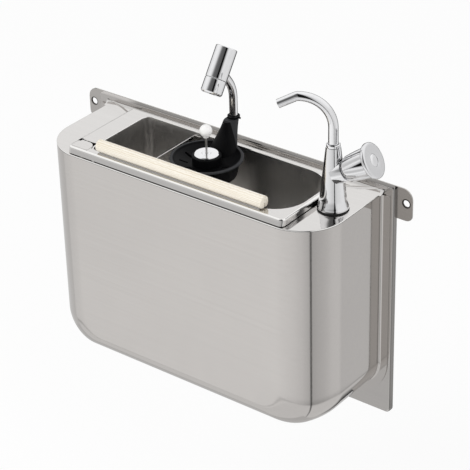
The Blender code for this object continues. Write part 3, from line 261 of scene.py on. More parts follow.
def reshaped(piece, joined=(), cut=()):
    """A piece after exact Booleans: closed forms are joined to it, and then others cut from it."""
    for operation, forms in (("UNION", joined), ("DIFFERENCE", cut)):
        for form in forms:
            step = piece.modifiers.new(form.name, "BOOLEAN")
            step.operation = operation
            step.solver = "EXACT"
            step.object = form
    settle(piece)
    return piece


def settle(piece, angle=30.0):
    """Bake a piece's modifiers into its mesh and clear away the helpers they used."""
    bpy.context.view_layer.update()
    seen = piece.evaluated_get(bpy.context.evaluated_depsgraph_get())
    mesh = bpy.data.meshes.new_from_object(seen)
    helpers = {step.object for step in piece.modifiers if step.type == "BOOLEAN"}
    piece.modifiers.clear()
    piece.data = mesh
    for helper in helpers:
        bpy.data.objects.remove(helper, do_unlink=True)
    mesh.shade_smooth()
    mesh.set_sharp_from_angle(angle=math.radians(angle))


# Materials

class Tone:
    """An output socket in a tree of nodes, reckoned with like a number, a colour or a place."""

    def __init__(self, tree, socket=None):
        self.tree = tree
        self.socket = socket

    def make(self, kind, inputs=None, output=0, **settings):
        """A new node of the tree: its kind, the values or links of its sockets, and its settings."""
        node = self.tree.nodes.new("ShaderNode" + kind)
        for key, value in settings.items():
            setattr(node, key, value)
        for key, value in (inputs or {}).items():
            if isinstance(value, Tone):
                self.tree.links.new(value.socket, node.inputs[key])
            else:
                node.inputs[key].default_value = value
        return Tone(self.tree, node.outputs[output])

    def reckon(self, operation, first, second=0.0):
        return self.make("Math", {0: first, 1: second}, operation=operation)

    def __add__(self, other):
        return self.reckon("ADD", self, other)

    def __radd__(self, other):
        return self.reckon("ADD", other, self)

    def __sub__(self, other):
        return self.reckon("SUBTRACT", self, other)

    def __rsub__(self, other):
        return self.reckon("SUBTRACT", other, self)

    def __mul__(self, other):
        return self.reckon("MULTIPLY", self, other)

    def __abs__(self):
        return self.reckon("ABSOLUTE", self)

    def vector(self, operation, *others):
        """This place reckoned with others, which gives a place, or a length or product as a number."""
        output = int(operation in ("LENGTH", "DOT_PRODUCT"))
        return self.make("VectorMath", dict(enumerate((self, *others))), output, operation=operation)

    def along(self, axis):
        """This place's coordinate: 0 for X, 1 for Y, 2 for Z."""
        return self.make("SeparateXYZ", {0: self}, axis)

    def between(self, low, high):
        """0 below low, 1 above high, and smooth between them."""
        return self.make("MapRange", {"Value": self, "From Min": low, "From Max": high},
                         interpolation_type="SMOOTHSTEP")

    def blend(self, first, second):
        """A colour between two, this value being the share of the second."""
        first = first if isinstance(first, Tone) else (*first, 1.0)
        second = second if isinstance(second, Tone) else (*second, 1.0)
        return self.make("Mix", {0: self, 6: first, 7: second}, 2, data_type="RGBA")

    def ramp(self, stops):
        """The grey that this value meets among stops, each a value from 0 to 1 with its grey."""
        node = self.tree.nodes.new("ShaderNodeValToRGB")
        self.tree.links.new(self.socket, node.inputs[0])
        elements = node.color_ramp.elements
        while len(elements) < len(stops):
            elements.new(0.5)
        for element, (position, grey_level) in zip(elements, stops):
            element.position = position
            element.color = (grey_level, grey_level, grey_level, 1.0)
        return Tone(self.tree, node.outputs[0])

    def shown(self, kind):
        """Make this shader the result of its tree, the Material's or the World's."""
        node = self.tree.nodes.new("ShaderNodeOutput" + kind)
        self.tree.links.new(self.socket, node.inputs[0])


class Finish:
    """A material with its main shader, and the noises that its surface varies by."""

    def __init__(self, name, **constants):
        self.material = bpy.data.materials.new(name)
        self.material.use_nodes = True
        self.shader = self.material.node_tree.nodes["Principled BSDF"]
        for key, value in constants.items():
            self.shader.inputs[key.replace("_", " ")].default_value = value
        self.place = Tone(self.material.node_tree).make("TexCoord", output=3)

    def set(self, key, tone):
        tone.tree.links.new(tone.socket, self.shader.inputs[key])

    def mapped(self, **changes):
        """The place on the piece, moved by a Location or stretched by a Scale."""
        return self.place.make("Mapping", {"Vector": self.place, **changes})

    def noise(self, scale, detail, place=None):
        """Even noise, finer for a larger scale."""
        place = place or self.place
        return place.make("TexNoise", {"Vector": place, "Scale": scale, "Detail": detail})

    def grain(self, stretch, detail):
        """Noise with a fineness for each axis, for grain that runs one way."""
        return self.noise(1.0, detail, self.mapped(Scale=stretch))

    def bump(self, height, distance):
        self.set("Normal", height.make("Bump", {"Height": height, "Distance": distance}))


def brushed(name, colour, roughness, grain, depth=0.000004, patch=0.025, hole_shade=None, painted_bands=()):
    """Brushed sheet: long fine streaks along one way, slow cloudy patches, and faint wiping marks.

    The argument for the holes gives the X of two holes in the plane of X and Z, either side of the
    middle, and the reach of a dark ring painted round them: painted shade for the holes' dark inner walls.
    The band argument lists painted highlights along edges and painted shade along folds: each gives its
    axis (0 for X, 2 for Z), its two ends on it, the X where it has come in, and its colour.
    """
    finish = Finish(name, Metallic=1.0)
    fine = finish.grain(grain, 3.0)
    coarse = finish.grain(tuple(value * 0.22 for value in grain), 2.0)
    cloud = finish.noise(9.0, 3.0)
    wipe = finish.grain((30.0, 30.0, 12.0), 4.0)
    streak = fine * 0.6 + coarse * 0.4
    dark = tuple(value * (1 - patch) for value in colour)
    light = tuple(min(value * (1 + patch), 1.0) for value in colour)
    tone = (streak * 0.7 + cloud * 0.3).between(0.3, 0.7).blend(dark, light)
    # Painted shade: a dark ring round each fixing hole stands in for its shaded inner wall.
    if hole_shade:
        spread, reach = hole_shade
        sides = finish.place.vector("ABSOLUTE")
        away = sides.vector("MULTIPLY_ADD", (1.0, 0.0, 1.0), (-spread, 0.0, 0.0)).vector("LENGTH")
        unshaded = (away + (cloud - 0.5) * 0.002).between(reach - 0.0012, reach + 0.0004)
        tone = (1.0 - unshaded).blend(tone, (0.05, 0.045, 0.04))
    # Painted light: pale bands on rounded edges are painted highlights, dark bands on folds are painted
    # shade.
    for axis, low, high, start, shade in painted_bands:
        along = finish.place.along(axis)
        inside = along.between(low - 0.0002, low) * (1.0 - along.between(high, high + 0.0002))
        come_in = finish.place.along(0).between(start - 0.03, start)
        tone = (inside * come_in).blend(tone, shade)
    finish.set("Base Color", tone)
    finish.set("Roughness", roughness + (streak - 0.5) * 0.12 + (wipe - 0.5) * 0.08)
    finish.bump(streak, depth)
    return finish.material


def polished(name, colour=(0.88, 0.88, 0.89), roughness=0.05, valley_shade=None):
    """Bright plating with faint water marks and fingerprints that dull it in patches.

    The valley argument gives an axis (a place and a direction), and the metal nearer to it than its
    lobes is painted dark: painted shade in the flutes.
    """
    finish = Finish(name, Metallic=1.0)
    marks = finish.noise(140.0, 4.0).between(0.52, 0.75)
    broad = finish.noise(35.0, 2.0)
    tone = (marks * 0.6).blend(colour, tuple(value * 0.94 for value in colour))
    if valley_shade:
        place, axis = valley_shade
        arm = finish.place.vector("SUBTRACT", place)
        along = arm.vector("DOT_PRODUCT", axis)
        reach = arm.vector("CROSS_PRODUCT", axis).vector("LENGTH")
        lobe = along * 0.1376 + 0.0144
        flute_shade = (lobe - reach).between(0.0022, 0.0062) * along.between(0.030, 0.054)
        skirt = 1.0 - along.between(0.0622, 0.0628)
        # Painted shade: the flutes near the disc turn nearly black.
        tone = (flute_shade * skirt * 0.97).blend(tone, (0.02, 0.02, 0.022))
    finish.set("Base Color", tone)
    finish.set("Roughness", roughness + marks * 0.035 + broad * 0.02)
    finish.bump(broad, 0.00001)
    return finish.material


def moulded(name, colour, roughness, grain=900.0, depth=0.00003, lift=1.25, shine=0.5, lip_highlight=None):
    """Moulded plastic: fine even grain, slightly lighter where the grain stands up.

    The last argument gives an upright axis, a radius and the paler colour painted beyond it: a painted
    highlight along the rim.
    """
    finish = Finish(name, Specular_IOR_Level=shine)
    skin = finish.noise(grain, 3.0)
    cloud = finish.noise(40.0, 3.0)
    raised = tuple(min(value * lift + 0.002, 1.0) for value in colour)
    tone = (skin * 0.5 + cloud * 0.5).between(0.35, 0.7).blend(colour, raised)
    # Painted highlight: beyond the radius the black turns paler, like a lit lip.
    if lip_highlight:
        centre, radius, pale = lip_highlight
        arm = finish.place.vector("MULTIPLY_ADD", (1.0, 1.0, 0.0), (-centre.x, -centre.y, 0.0))
        lip_highlight_mask = arm.vector("LENGTH").between(radius, radius + 0.0008) * (cloud * 0.6 + 0.6)
        tone = lip_highlight_mask.blend(tone, pale)
    finish.set("Base Color", tone)
    finish.set("Roughness", roughness + (cloud - 0.5) * 0.14)
    finish.bump(skin, depth)
    return finish.material


def bare_beech(name):
    """Bare beech along X: pale wood, long grain lines, short dark flecks and ringed end grain."""
    finish = Finish(name, Specular_IOR_Level=0.35)
    warp = finish.grain((7.0, 60.0, 60.0), 2.0)
    rings = finish.place.make(
        "TexWave", {"Vector": finish.mapped(Location=(0.0, 0.160, -0.018)), "Scale": 160.0,
                    "Distortion": 3.0, "Detail": 2.0, "Detail Scale": 1.5},
        1, wave_type="RINGS", rings_direction="X", wave_profile="SIN")
    lines = finish.grain((9.0, 520.0, 520.0), 4.0)
    flecks = finish.grain((220.0, 1500.0, 1500.0), 1.0).between(0.62, 0.74)
    grain = (lines * 0.55 + rings * 0.25 + warp * 0.2).between(0.32, 0.68)
    wood = grain.blend((0.80, 0.72, 0.58), (0.95, 0.905, 0.815))
    wood = (flecks * 0.30).blend(wood, (0.50, 0.37, 0.23))
    damp = finish.grain((14.0, 30.0, 30.0), 2.0).between(0.55, 0.8)
    wood = (damp * 0.2).blend(wood, (0.74, 0.60, 0.44))
    finish.set("Base Color", wood)
    finish.set("Roughness", 0.62 - lines * 0.12)
    finish.bump(lines * 0.7 + flecks * -0.4, 0.00012)
    return finish.material


def drawn_metal(name, colour, roughness, tarnish):
    """Brass, copper or wire: drawn surface with tarnish in its quiet places."""
    finish = Finish(name, Metallic=1.0)
    cloud = finish.noise(60.0, 4.0)
    lines = finish.noise(700.0, 2.0)
    finish.set("Base Color", cloud.between(0.45, 0.7).blend(colour, tarnish))
    finish.set("Roughness", roughness + (cloud - 0.5) * 0.2 + (lines - 0.5) * 0.08)
    finish.bump(lines, 0.00002)
    return finish.material


TOP_STEEL = (0.72, 0.705, 0.69)
ALONG_X = (5.0, 700.0, 700.0)
PAINTED_HIGHLIGHT = (0.98, 0.97, 0.95)
BLACK = (0.003, 0.003, 0.0035)

front_steel = brushed("front_steel", (0.565, 0.542, 0.523), 0.09, (4.0, 900.0, 900.0))
# The deck's and rim's bands are painted highlights along their rounded front edges.
deck_steel = brushed("deck_steel", TOP_STEEL, 0.08, ALONG_X,
                     painted_bands=((2, DECK - 0.003, DECK - 0.0003, -1.0, PAINTED_HIGHLIGHT),))
rim_steel = brushed("rim_steel", TOP_STEEL, 0.10, ALONG_X,
                    painted_bands=((2, RIM_TOP - 0.0020, RIM_TOP - 0.0003, -1.0, PAINTED_HIGHLIGHT),))
# The basin's steel is a much lighter copy of the sheet steel: painted light that makes up for the shade
# inside the basin.
basin_steel = brushed("basin_steel", (0.88, 0.865, 0.845), 0.30, (300.0, 300.0, 9.0), 0.0000015, 0.02)
rod_steel = brushed("rod_steel", (0.76, 0.75, 0.74), 0.34, (900.0, 900.0, 8.0), 0.000004, 0.03)
# The panel's bands are painted shade: a dark strip above the deck and a dark right-hand fold.
panel_steel = brushed("panel_steel", (0.56, 0.54, 0.522), 0.13, ALONG_X, 0.000006, 0.03,
                      painted_bands=((2, 0.0210, 0.03, -0.19, (0.26, 0.25, 0.24)),
                             (0, 0.2678, 0.28, -0.19, (0.30, 0.29, 0.28))))
strap_steel = brushed("strap_steel", (0.53, 0.51, 0.49), 0.13, ALONG_X, 0.000006, 0.03,
                      hole_shade=(EAR_HOLES, 0.0074))
chrome = polished("bright_chrome")
black = moulded("black_moulding", BLACK, 0.42, shine=0.07)
# The rinse bowl's black is paler beyond its lip radius: a painted highlight on the lip.
painted_lip_black = moulded("rubbed_black_moulding", BLACK, 0.42, shine=0.07,
                       lip_highlight=(BOWL, 0.0487, (0.040, 0.041, 0.044)))
white = moulded("white_moulding", (0.94, 0.935, 0.925), 0.30, 500.0, 0.00001, 1.03)
grey = moulded("grey_moulding", (0.60, 0.60, 0.59), 0.42, 600.0, 0.00002, 1.06)
rubber = moulded("black_rubber", (0.012, 0.012, 0.012), 0.70, 1200.0, 0.00004, 1.5)
beech = bare_beech("bare_beech")
brass = drawn_metal("machined_brass", (0.72, 0.52, 0.26), 0.30, (0.42, 0.28, 0.14))
copper = drawn_metal("copper_tube", (0.75, 0.42, 0.28), 0.28, (0.40, 0.20, 0.13))
wire = drawn_metal("spring_wire", (0.55, 0.56, 0.58), 0.28, (0.40, 0.40, 0.40))


def dress(piece, body, node, material):
    """A finished piece: its material, the body it rides on and the CAD node it stands for."""
    piece.data.materials.clear()
    piece.data.materials.append(material)
    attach(piece, body)
    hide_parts(node)


# Sheet metal

def pan_edge(depth, fillet):
    """How far the pan's side or bottom stands out, for depths from the wall.

    The concave fillet at the flange is followed by straight sheet and the quarter round at the front.
    """
    over = np.clip(FLANGE_FACE + FLANGE_FILLET - depth, 0, FLANGE_FILLET)
    concave = FLANGE_FILLET - np.sqrt(np.maximum(FLANGE_FILLET ** 2 - over ** 2, 0))
    over = np.clip(depth - (DEPTH - fillet), 0, fillet)
    convex = np.sqrt(np.maximum(fillet ** 2 - over ** 2, 0)) - fillet
    return concave + convex


def pan_depths():
    """Depths of the pan's sections: close together in its fillets and beside them."""
    flange = FLANGE_FACE + FLANGE_FILLET * (1 - np.cos(np.radians(np.linspace(0, 90, 13))))
    side = np.linspace(FLANGE_FACE + FLANGE_FILLET + 0.0004, DEPTH - SIDE_FILLET - 0.0004, 8)
    turn = DEPTH - SIDE_FILLET * (1 - np.sin(np.radians(np.linspace(0, 90, 49))))
    return np.concatenate([flange, side, turn])


def pan_surface():
    """The drawn pan: U-shaped sections at growing depth, each with round lower corners.

    The corners' radius shrinks from the flange to the front as the sides come in. Each section is
    (depth, side, low, corner): the flange's two come first, and two that close the front come last.
    """
    top = DECK - SHEET - GAP
    depth = pan_depths()
    side = HALF_WIDTH + pan_edge(depth, SIDE_FILLET)
    low = PAN_BOTTOM - pan_edge(depth, LOW_FILLET)
    inward = np.clip(HALF_WIDTH - side, 0, None) / SIDE_FILLET
    corner = PAN_CORNER + np.clip(side - HALF_WIDTH, 0, None) - 0.020 * inward
    drawn = np.column_stack([depth, side, low, corner])
    flange = np.array([FLANGE_FACE, HALF_WIDTH, PAN_BOTTOM, PAN_CORNER])
    flange = flange + np.outer((FLANGE_WIDTH, FLANGE_FILLET + GAP), (0, 1, -1, 1))
    front = drawn[-1] + np.outer((0.0003, 0.0025), (0, -1, 1, -1))
    depth, side, low, corner = np.vstack([flange, drawn, front]).T[:, :, None, None]
    down = np.linspace(0, 1, 30)[None, :-1, None]
    angle = np.radians(np.linspace(0, 90, 22))[None, :, None]
    across = np.linspace(0, 1, 40)[None, 1:-1, None]
    left_x = np.broadcast_to(-side, (len(side), down.shape[1], 1))
    left_z = top + (low + corner - top) * down
    turn_x = -side + corner * (1 - np.cos(angle))
    turn_z = low + corner * (1 - np.sin(angle))
    flat_x = (-side + corner) + (2 * side - 2 * corner) * across
    flat_z = np.broadcast_to(low, flat_x.shape)
    x = np.concatenate([left_x, turn_x, flat_x, -turn_x[:, ::-1], -left_x[:, ::-1]], axis=1)[..., 0]
    z = np.concatenate([left_z, turn_z, flat_z, turn_z[:, ::-1], left_z[:, ::-1]], axis=1)[..., 0]
    return grid(x, -depth[:, 0], z)


dress(surface("outer_shell_sheet", pan_surface(), ends=(False, True), wall=SHEET, flip=True),
      "sink", "outer_shell", front_steel)


def deck_surface():
    """The deck: rows that step in from its rolled edge to the basin opening, and rise at the back.

    Every row has the points of the one before, moved inward. The height falls round the edge and
    climbs along the upstand, whose section is a quarter circle.
    """
    depth = np.concatenate([pan_depths()[::-1], [PANEL_FACE + 0.0004]])
    side = HALF_WIDTH + pan_edge(np.maximum(depth, FLANGE_FACE), SIDE_FILLET)
    side[-1] = side[-2]
    right = np.column_stack([side, -depth])
    across = np.linspace(1, -1, 60)[1:-1, None]
    back = across * (side[-1], 0.0) - (0.0, depth[-1])
    front = across * (-side[0], 0.0) - (0.0, DEPTH)
    outline = np.vstack([right, back, right[::-1] * (-1, 1), front])
    ahead = np.roll(outline, -1, axis=0) - np.roll(outline, 1, axis=0)
    ahead /= np.linalg.norm(ahead, axis=1, keepdims=True)
    inward = np.column_stack([-ahead[:, 1], ahead[:, 0]])
    upstand = 0.0070
    steps = [(0.0008, -SHEET), (0.0001, -SHEET + 0.0001), (0.0, -0.0011), (0.0, -0.0008),
             (0.0001, -0.0005), (0.0003, -0.0002), (0.0006, -0.00005), (0.0010, 0.0)]
    climb_angle = np.radians(np.linspace(66, 0, 12))
    steps += [(value, 0.0) for value in upstand + 0.0014 - upstand * np.sin(climb_angle)]
    steps += [(0.0087, 0.0), (0.0094, 0.0)]
    rows = []
    foot = -PANEL_FACE - SHEET - GAP - upstand
    for distance, drop in steps:
        row = outline + inward * distance
        climb = np.clip(row[:, 1] - foot, 0, upstand - 0.0001)
        lift = upstand - np.sqrt(upstand ** 2 - climb ** 2)
        rows.append((row, DECK + lift + drop))
    opening = outline_match(row, rounded_loop(-0.188, 0.188, -0.160, -0.024, (0.004,) * 4))
    return ring_rows(rows + [(opening, DECK), (opening, DECK - SHEET)])


def outline_match(outer, inner):
    """For each point of an outer loop, the point of an inner loop that lies in the same direction."""
    centre = np.array([0.0, -0.09])
    stretch = np.array([1.0, 2.6])
    outer_angle = np.arctan2(*((outer - centre) * stretch).T[::-1])
    inner_angle = np.arctan2(*((inner - centre) * stretch).T[::-1])
    order = np.argsort(inner_angle)
    angles = inner_angle[order]
    places = inner[order]
    return np.column_stack([np.interp(outer_angle, angles, places[:, 0], period=TURN),
                            np.interp(outer_angle, angles, places[:, 1], period=TURN)])


dress(surface("deck_sheet", deck_surface(), around=True, flip=True), "sink", "deck_plate", deck_steel)


RIM_SEAM = 0.0011
RIM_DRAFT = 0.0018
RIM_ROLL = 0.0036
RIM = (-0.1945, 0.1945, -0.167, -0.0165, (0.008, RIM_ROLL, RIM_ROLL, 0.008))
OPENING = (-0.160, 0.1875, -0.155, -0.026, (0.050, 0.050, 0.013, 0.013))


def rim_block(inset, drop):
    """The raised rim as a full block, set in all round: drafted side, rolled edge, flat top."""
    left, right, front, back, radii = RIM
    foot = rounded_loop(left, right, front - RIM_DRAFT, back, radii, -inset)
    side = foot * 0.06 + rounded_loop(*RIM, -inset) * 0.94
    rows = [(foot, DECK + RIM_SEAM - drop), (side, RIM_TOP - RIM_ROLL - 0.0004)]
    rows += rolled_rows(RIM, RIM_ROLL - inset, RIM_TOP - inset, 12, -inset)
    rows.append((rounded_loop(*RIM, -RIM_ROLL - 0.0005), RIM_TOP - inset))
    return ring_rows(rows)


def opening_form():
    """The space of the basin opening, which widens round the rim's eased inner edge."""
    lip = 0.0012
    rows = [(rounded_loop(*OPENING), RIM_TOP - 0.004)]
    for angle in np.radians(np.linspace(0, 80, 7)):
        loop = rounded_loop(*OPENING, lip * (1 - math.cos(angle)))
        rows.append((loop, RIM_TOP - lip + lip * math.sin(angle)))
    rows.append((loop, RIM_TOP + 0.003))
    return ring_rows(rows)


STOP = (-0.190, -0.160, -0.163, -0.1415, (0.0008, 0.013, 0.0008, 0.0008))
NOTCH = (-0.1922, -0.1866, -0.1462, -0.1378, (0.0004,) * 4)


def slot_outline():
    """The slot in the rim behind the end stop: a thin line that widens along the stop's round nose."""
    left, right, _, back, radii = STOP
    nose = (right, back) - radii[1] * (1 - unit(np.radians(np.linspace(90, 0, 14))))
    line = np.array([[right + 0.0072, nose[-1, 1]], [right + 0.0062, nose[-1, 1] + 0.0040],
                     [right - 0.0012, back + 0.0034], [right - 0.0080, back + 0.0022],
                     [left + 0.002, back + 0.0022], [left + 0.002, back]])
    return np.vstack([line, nose])


def prism(name, outline, low, high):
    """A closed upright block over an outline."""
    return block(name, ring_rows([(outline, low), (outline, high)]))


def stop_surface():
    """The bar's end stop, let into the rim: a small tab with eased edges and one large round corner."""
    rows = [(rounded_loop(*STOP), RIM_TOP - GAP)]
    return ring_rows(rows + rolled_rows(STOP, 0.0005, RIM_TOP + 0.0006, 6))


notch = rounded_loop(*NOTCH, per_corner=3, per_side=0)
rim = reshaped(block("rim_sheet", rim_block(0.0, 0.0)), cut=(
    block("rim_hollow_form", rim_block(0.0012, 0.002)),
    block("opening_form", opening_form()),
    prism("slot_form", slot_outline(), RIM_TOP - 0.004, RIM_TOP + 0.004),
    prism("notch_form", notch, RIM_TOP - 0.0035, RIM_TOP + 0.0035),
    prism("pocket_form", rounded_loop(*STOP, 0.00004), RIM_TOP - 0.0005, RIM_TOP + 0.003)))
dress(rim, "sink", "tray_rim", rim_steel)
stop = reshaped(block("stop_tab", stop_surface()), cut=(
    prism("stop_notch_form", notch, RIM_TOP - 0.003, RIM_TOP + 0.003),))
dress(stop, "sink", "bar_end_stop", rim_steel)


def basin_surface():
    """The basin: flange, straight walls, filleted foot, and a level floor that runs to its drain."""
    inset = 0.0006
    fillet = 0.0128
    rows = [(rounded_loop(*OPENING, inset + 0.0020), BASIN_TOP),
            (rounded_loop(*OPENING, inset + 0.0008), BASIN_TOP),
            (rounded_loop(*OPENING, inset + 0.0002), BASIN_TOP - 0.0003)]
    wall = rounded_loop(*OPENING, inset)
    rows += [(wall, height) for height in np.linspace(BASIN_TOP - 0.001, BASIN_FLOOR + fillet, 7)[:-1]]
    rows += rolled_rows(OPENING, fillet, BASIN_FLOOR, 9, inset, rise=-1.0)
    last = rows[-1][0]
    ahead = last - DRAIN
    hole = DRAIN + 0.0232 * unit(np.arctan2(ahead[:, 1], ahead[:, 0]))
    for share in (0.3, 0.6, 0.9, 1.0):
        rows.append((last * (1 - share) + hole * share, BASIN_FLOOR))
    return ring_rows(rows)


dress(surface("basin_sheet", basin_surface(), around=True, wall=0.0012, merge=False, flip=True),
      "sink", "basin_bowl", basin_steel)


def panel_surface():
    """The back panel's face with its folded edges: rows that step in from the fold, then one face."""
    roll = 0.0028
    box = (-0.2697, 0.2697, -0.3597, 0.0226, (0.009, 0.0045, 0.0045, 0.009))
    rows = [(rounded_loop(*box), 0.0)] + rolled_rows(box, roll, -PANEL_FACE, 8, rise=-1.0)
    rows.append((rounded_loop(*box, -roll - 0.004), -PANEL_FACE))
    return ring_rows(rows)[..., [0, 2, 1]]


def panel_cut(name, box, front, back):
    """A square block through the panel: box is its left, right, low and high."""
    corners = rounded_loop(*box, (1e-4,) * 4, per_corner=2, per_side=0)
    return block(name, ring_rows([(corners, front), (corners, back)])[..., [0, 2, 1]])


panel = surface("panel_sheet", panel_surface(), around=True, ends=(False, True), wall=SHEET, flip=True)
reshaped(panel, cut=(panel_cut("strap_slot_cut", (-0.30, 0.30, -0.0277, 0.03), -0.0023, 0.01),
                     panel_cut("pipe_window_cut", (0.070, 0.240, -0.290, -0.175), -0.02, 0.02)))
dress(panel, "sink", "wall_panel", panel_steel)


# Wooden bar

def bar_surface():
    """The bar: its round section with a flat and a groove below, carried along X, ends eased."""
    left = -0.143
    right = 0.154
    radius = 0.0093
    flat = 0.0077
    groove = 0.0012
    groove_top = 0.0062 - flat
    groove_middle = 0.0006
    ease = 0.0009
    rail = 0.0012
    foot = math.acos(flat / radius)
    around = np.linspace(-math.pi / 2 + foot, 3 * math.pi / 2 - foot, 72)
    ring = radius * unit(around)
    slot = np.array([[-groove, -flat], [-groove, groove_top], [groove, groove_top], [groove, -flat]])
    section = np.vstack([ring, slot + (groove_middle, 0.0)])
    end = 1 - ease / radius
    near_end = 1 - 0.3 * ease / radius
    stations = [(left, end), (left + ease * 0.3, near_end), (left + ease, 1.0),
                (right - ease, 1.0), (right - ease * 0.3, near_end), (right, end)]
    centre = np.array([-0.1540, RIM_TOP + GAP + rail + GAP + flat])
    return np.stack([np.column_stack([np.full(len(section), x), section * share + centre])
                     for x, share in stations])


dress(block("wooden_bar", bar_surface()), "bar", "scraper_bar", beech)


# Rinse bowl and press valve

def tower_surface():
    """The tower: ellipses that shrink and step back as they climb, with a flared foot."""
    share = np.linspace(0, 1, 25)[:, None]
    low = -0.0125
    height = low + (TOWER_TOP - low) * share
    half_width = 0.0088 + (0.026 - 0.0088) * (1 - share) ** 1.3
    half_depth = 0.0138 + 0.0017 * np.sqrt(share)
    reach = 0.036 + 0.023 * share
    angle = np.linspace(0, TURN, 64, endpoint=False)
    points = grid(half_width * np.cos(angle), reach + half_depth * np.sin(angle), height)
    centre = points[-1].mean(axis=0)
    points[-1] = centre + (points[-1] - centre) * 0.985
    return placed(points, BOWL)


bowl = turned("rinse_bowl_moulding", [
    (0.0511, 0.0), (0.0529, -0.0003), (0.0537, -0.0011), (0.0537, -0.0022), (0.0530, -0.0028),
    (0.0490, -0.0043), (0.0485, -0.0060), (0.0430, -0.0280), (0.0400, -0.0280), (0.0454, -0.0070),
    (0.0265, -0.0140), (0.0113, -0.0140), (0.0113, -0.0110), (0.0250, -0.0110), (0.0300, -0.0093),
    (0.0465, -0.0025), (0.0480, -0.0006), (0.0490, 0.0)], BOWL, soft=0.0006, steps=112)
bowl_cuts = [rod("socket_form", 0.0067, 0.0235, 0.041, RISER)]
slot_loop = rounded_loop(0.027, 0.040, -0.002, 0.002, (0.00199,) * 4, per_corner=5, per_side=1)
slot_rows = ring_rows([(slot_loop, -0.03), (slot_loop, 0.01)])
for number in range(6):
    spin = Euler((0.0, 0.0, math.radians(36 * (number - 2.5) - 90))).to_matrix()
    bowl_cuts.append(block("slot_form_%d" % number, placed(slot_rows, BOWL, spin)))
reshaped(bowl, joined=(block("tower_form", tower_surface()),), cut=bowl_cuts)
dress(bowl, "sink", "rinse_bowl", painted_lip_black)

dress(turned("valve_housing_moulding", [
    (0.0213, 0.0022), (0.0213, -0.0107), (0.0107, -0.0107), (0.0107, -0.046), (0.003, -0.046),
    (0.003, -0.038), (0.008, -0.038), (0.008, 0.003), (0.0205, 0.003)], BOWL, soft=0.0003),
    "sink", "valve_housing", black)
dress(turned("valve_disc_plate", [
    (0.0169, 0.0053), (0.0180, 0.0043), (0.0180, 0.0033), (0.0023, 0.0033), (0.0023, 0.0053),
    (0.0060, 0.0053), (0.0062, 0.0050), (0.0068, 0.0050), (0.0070, 0.0053)], BOWL, soft=0.0002),
    "sink", "valve_disc", chrome)
dress(turned("plunger_rod", [
    (0.0, 0.0358), (0.0017, 0.0358), (0.0017, -0.012), (0.0066, -0.012), (0.0066, -0.014),
    (0.0017, -0.014), (0.0017, -0.0237), (0.0, -0.0237)], BOWL, steps=32), "knob", "plunger_stem",
      rod_steel)

knob_profile = 0.0093 * unit(np.radians(np.linspace(90, -58, 26)))
knob_profile[0, 0] = 0.0
knob_profile = np.vstack([knob_profile, [
    (0.0044, -0.0090), (0.0042, -0.0103), (0.0020, -0.0103), (0.0020, -0.0048), (0.0, -0.0048)]])
dress(turned("press_knob_moulding", knob_profile, BOWL + Vector((0.0, 0.0, 0.041)), steps=64),
      "knob", "press_knob", white)


def spring_surface():
    """The return spring: a round wire along the helix (r cos a, r sin a, low + rise a / whole turn)."""
    thick = 0.0006
    angle = np.linspace(0, 5 * TURN, 241)
    middle = about_axis(0.0056, angle, np.linspace(-0.0371, -0.0149, 241))
    outward = about_axis(1.0, angle, 0.0)
    across = np.cross(directions(middle), outward)
    around = np.linspace(0, TURN, 12, endpoint=False)[None, :, None]
    section = np.cos(around) * outward[:, None] + np.sin(around) * across[:, None]
    return placed(middle[:, None] + thick * section, BOWL)


spring = block("return_spring_coil", spring_surface())
dress(spring, "sink", "return_spring", wire)
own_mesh(spring)


# Riser and spray head

riser_bend = math.radians(36)
bend_radius = 0.052
bend_reach = bend_radius * math.tan(riser_bend / 2)
riser_low = TOWER_TOP - 0.012 + GAP
riser_path = bent_path((0.0, riser_low), [
    (0.0833 - bend_reach - riser_low, bend_radius, riser_bend), (0.0392 - bend_reach, 0.0, 0.0)], steps=24)
dress(tube("riser_tube_bend", riser_path, RISER, -math.pi / 2, 0.0061), "riser", "riser_tube", chrome)

seat = TOWER_TOP + GAP
collar = turned("riser_collar_ring", [
    (0.0092, seat + 0.003), (0.0092, seat), (0.0067, seat), (0.0067, seat + 0.003)],
    RISER, soft=0.0004, steps=64)
lug = rod("collar_lug_form", 0.0014, 0.0078, 0.012, RISER + Vector((0.0, 0.0, seat + 0.0015)),
          Euler((0.0, math.pi / 2, 0.0)).to_matrix(), steps=24)
dress(reshaped(collar, joined=(lug,)), "sink", "riser_collar", black)

HEAD = Vector((0.002, -0.0535, 0.1480))
head_turn = Euler((-math.radians(35), 0.0, 0.0)).to_matrix()
dress(turned("spray_barrel", [
    (0.0, 0.0345), (0.0149, 0.0345), (0.0158, 0.0336), (0.0158, -0.0118), (0.0153, -0.0123),
    (0.0128, -0.0124), (0.0128, -0.0081), (0.0, -0.0081)], HEAD, head_turn, soft=0.0004),
    "riser", "spray_head", chrome)
dress(turned("nozzle_grip", [
    (0.0122, -0.0087), (0.0122, -0.0127), (0.0153, -0.0127), (0.0158, -0.0132), (0.0158, -0.0321),
    (0.0138, -0.0345), (0.0121, -0.0345), (0.0121, -0.0309), (0.0090, -0.0306), (0.0090, -0.0087)],
    HEAD, head_turn, soft=0.0003), "ring", "nozzle_ring", chrome)


# Tap

dress(turned("tap_base_ring", [
    (0.0225, 0.0003), (0.0225, 0.0019), (0.0106, 0.0019), (0.0106, 0.0003)], TAP, soft=0.0003),
    "sink", "tap_gasket", rubber)

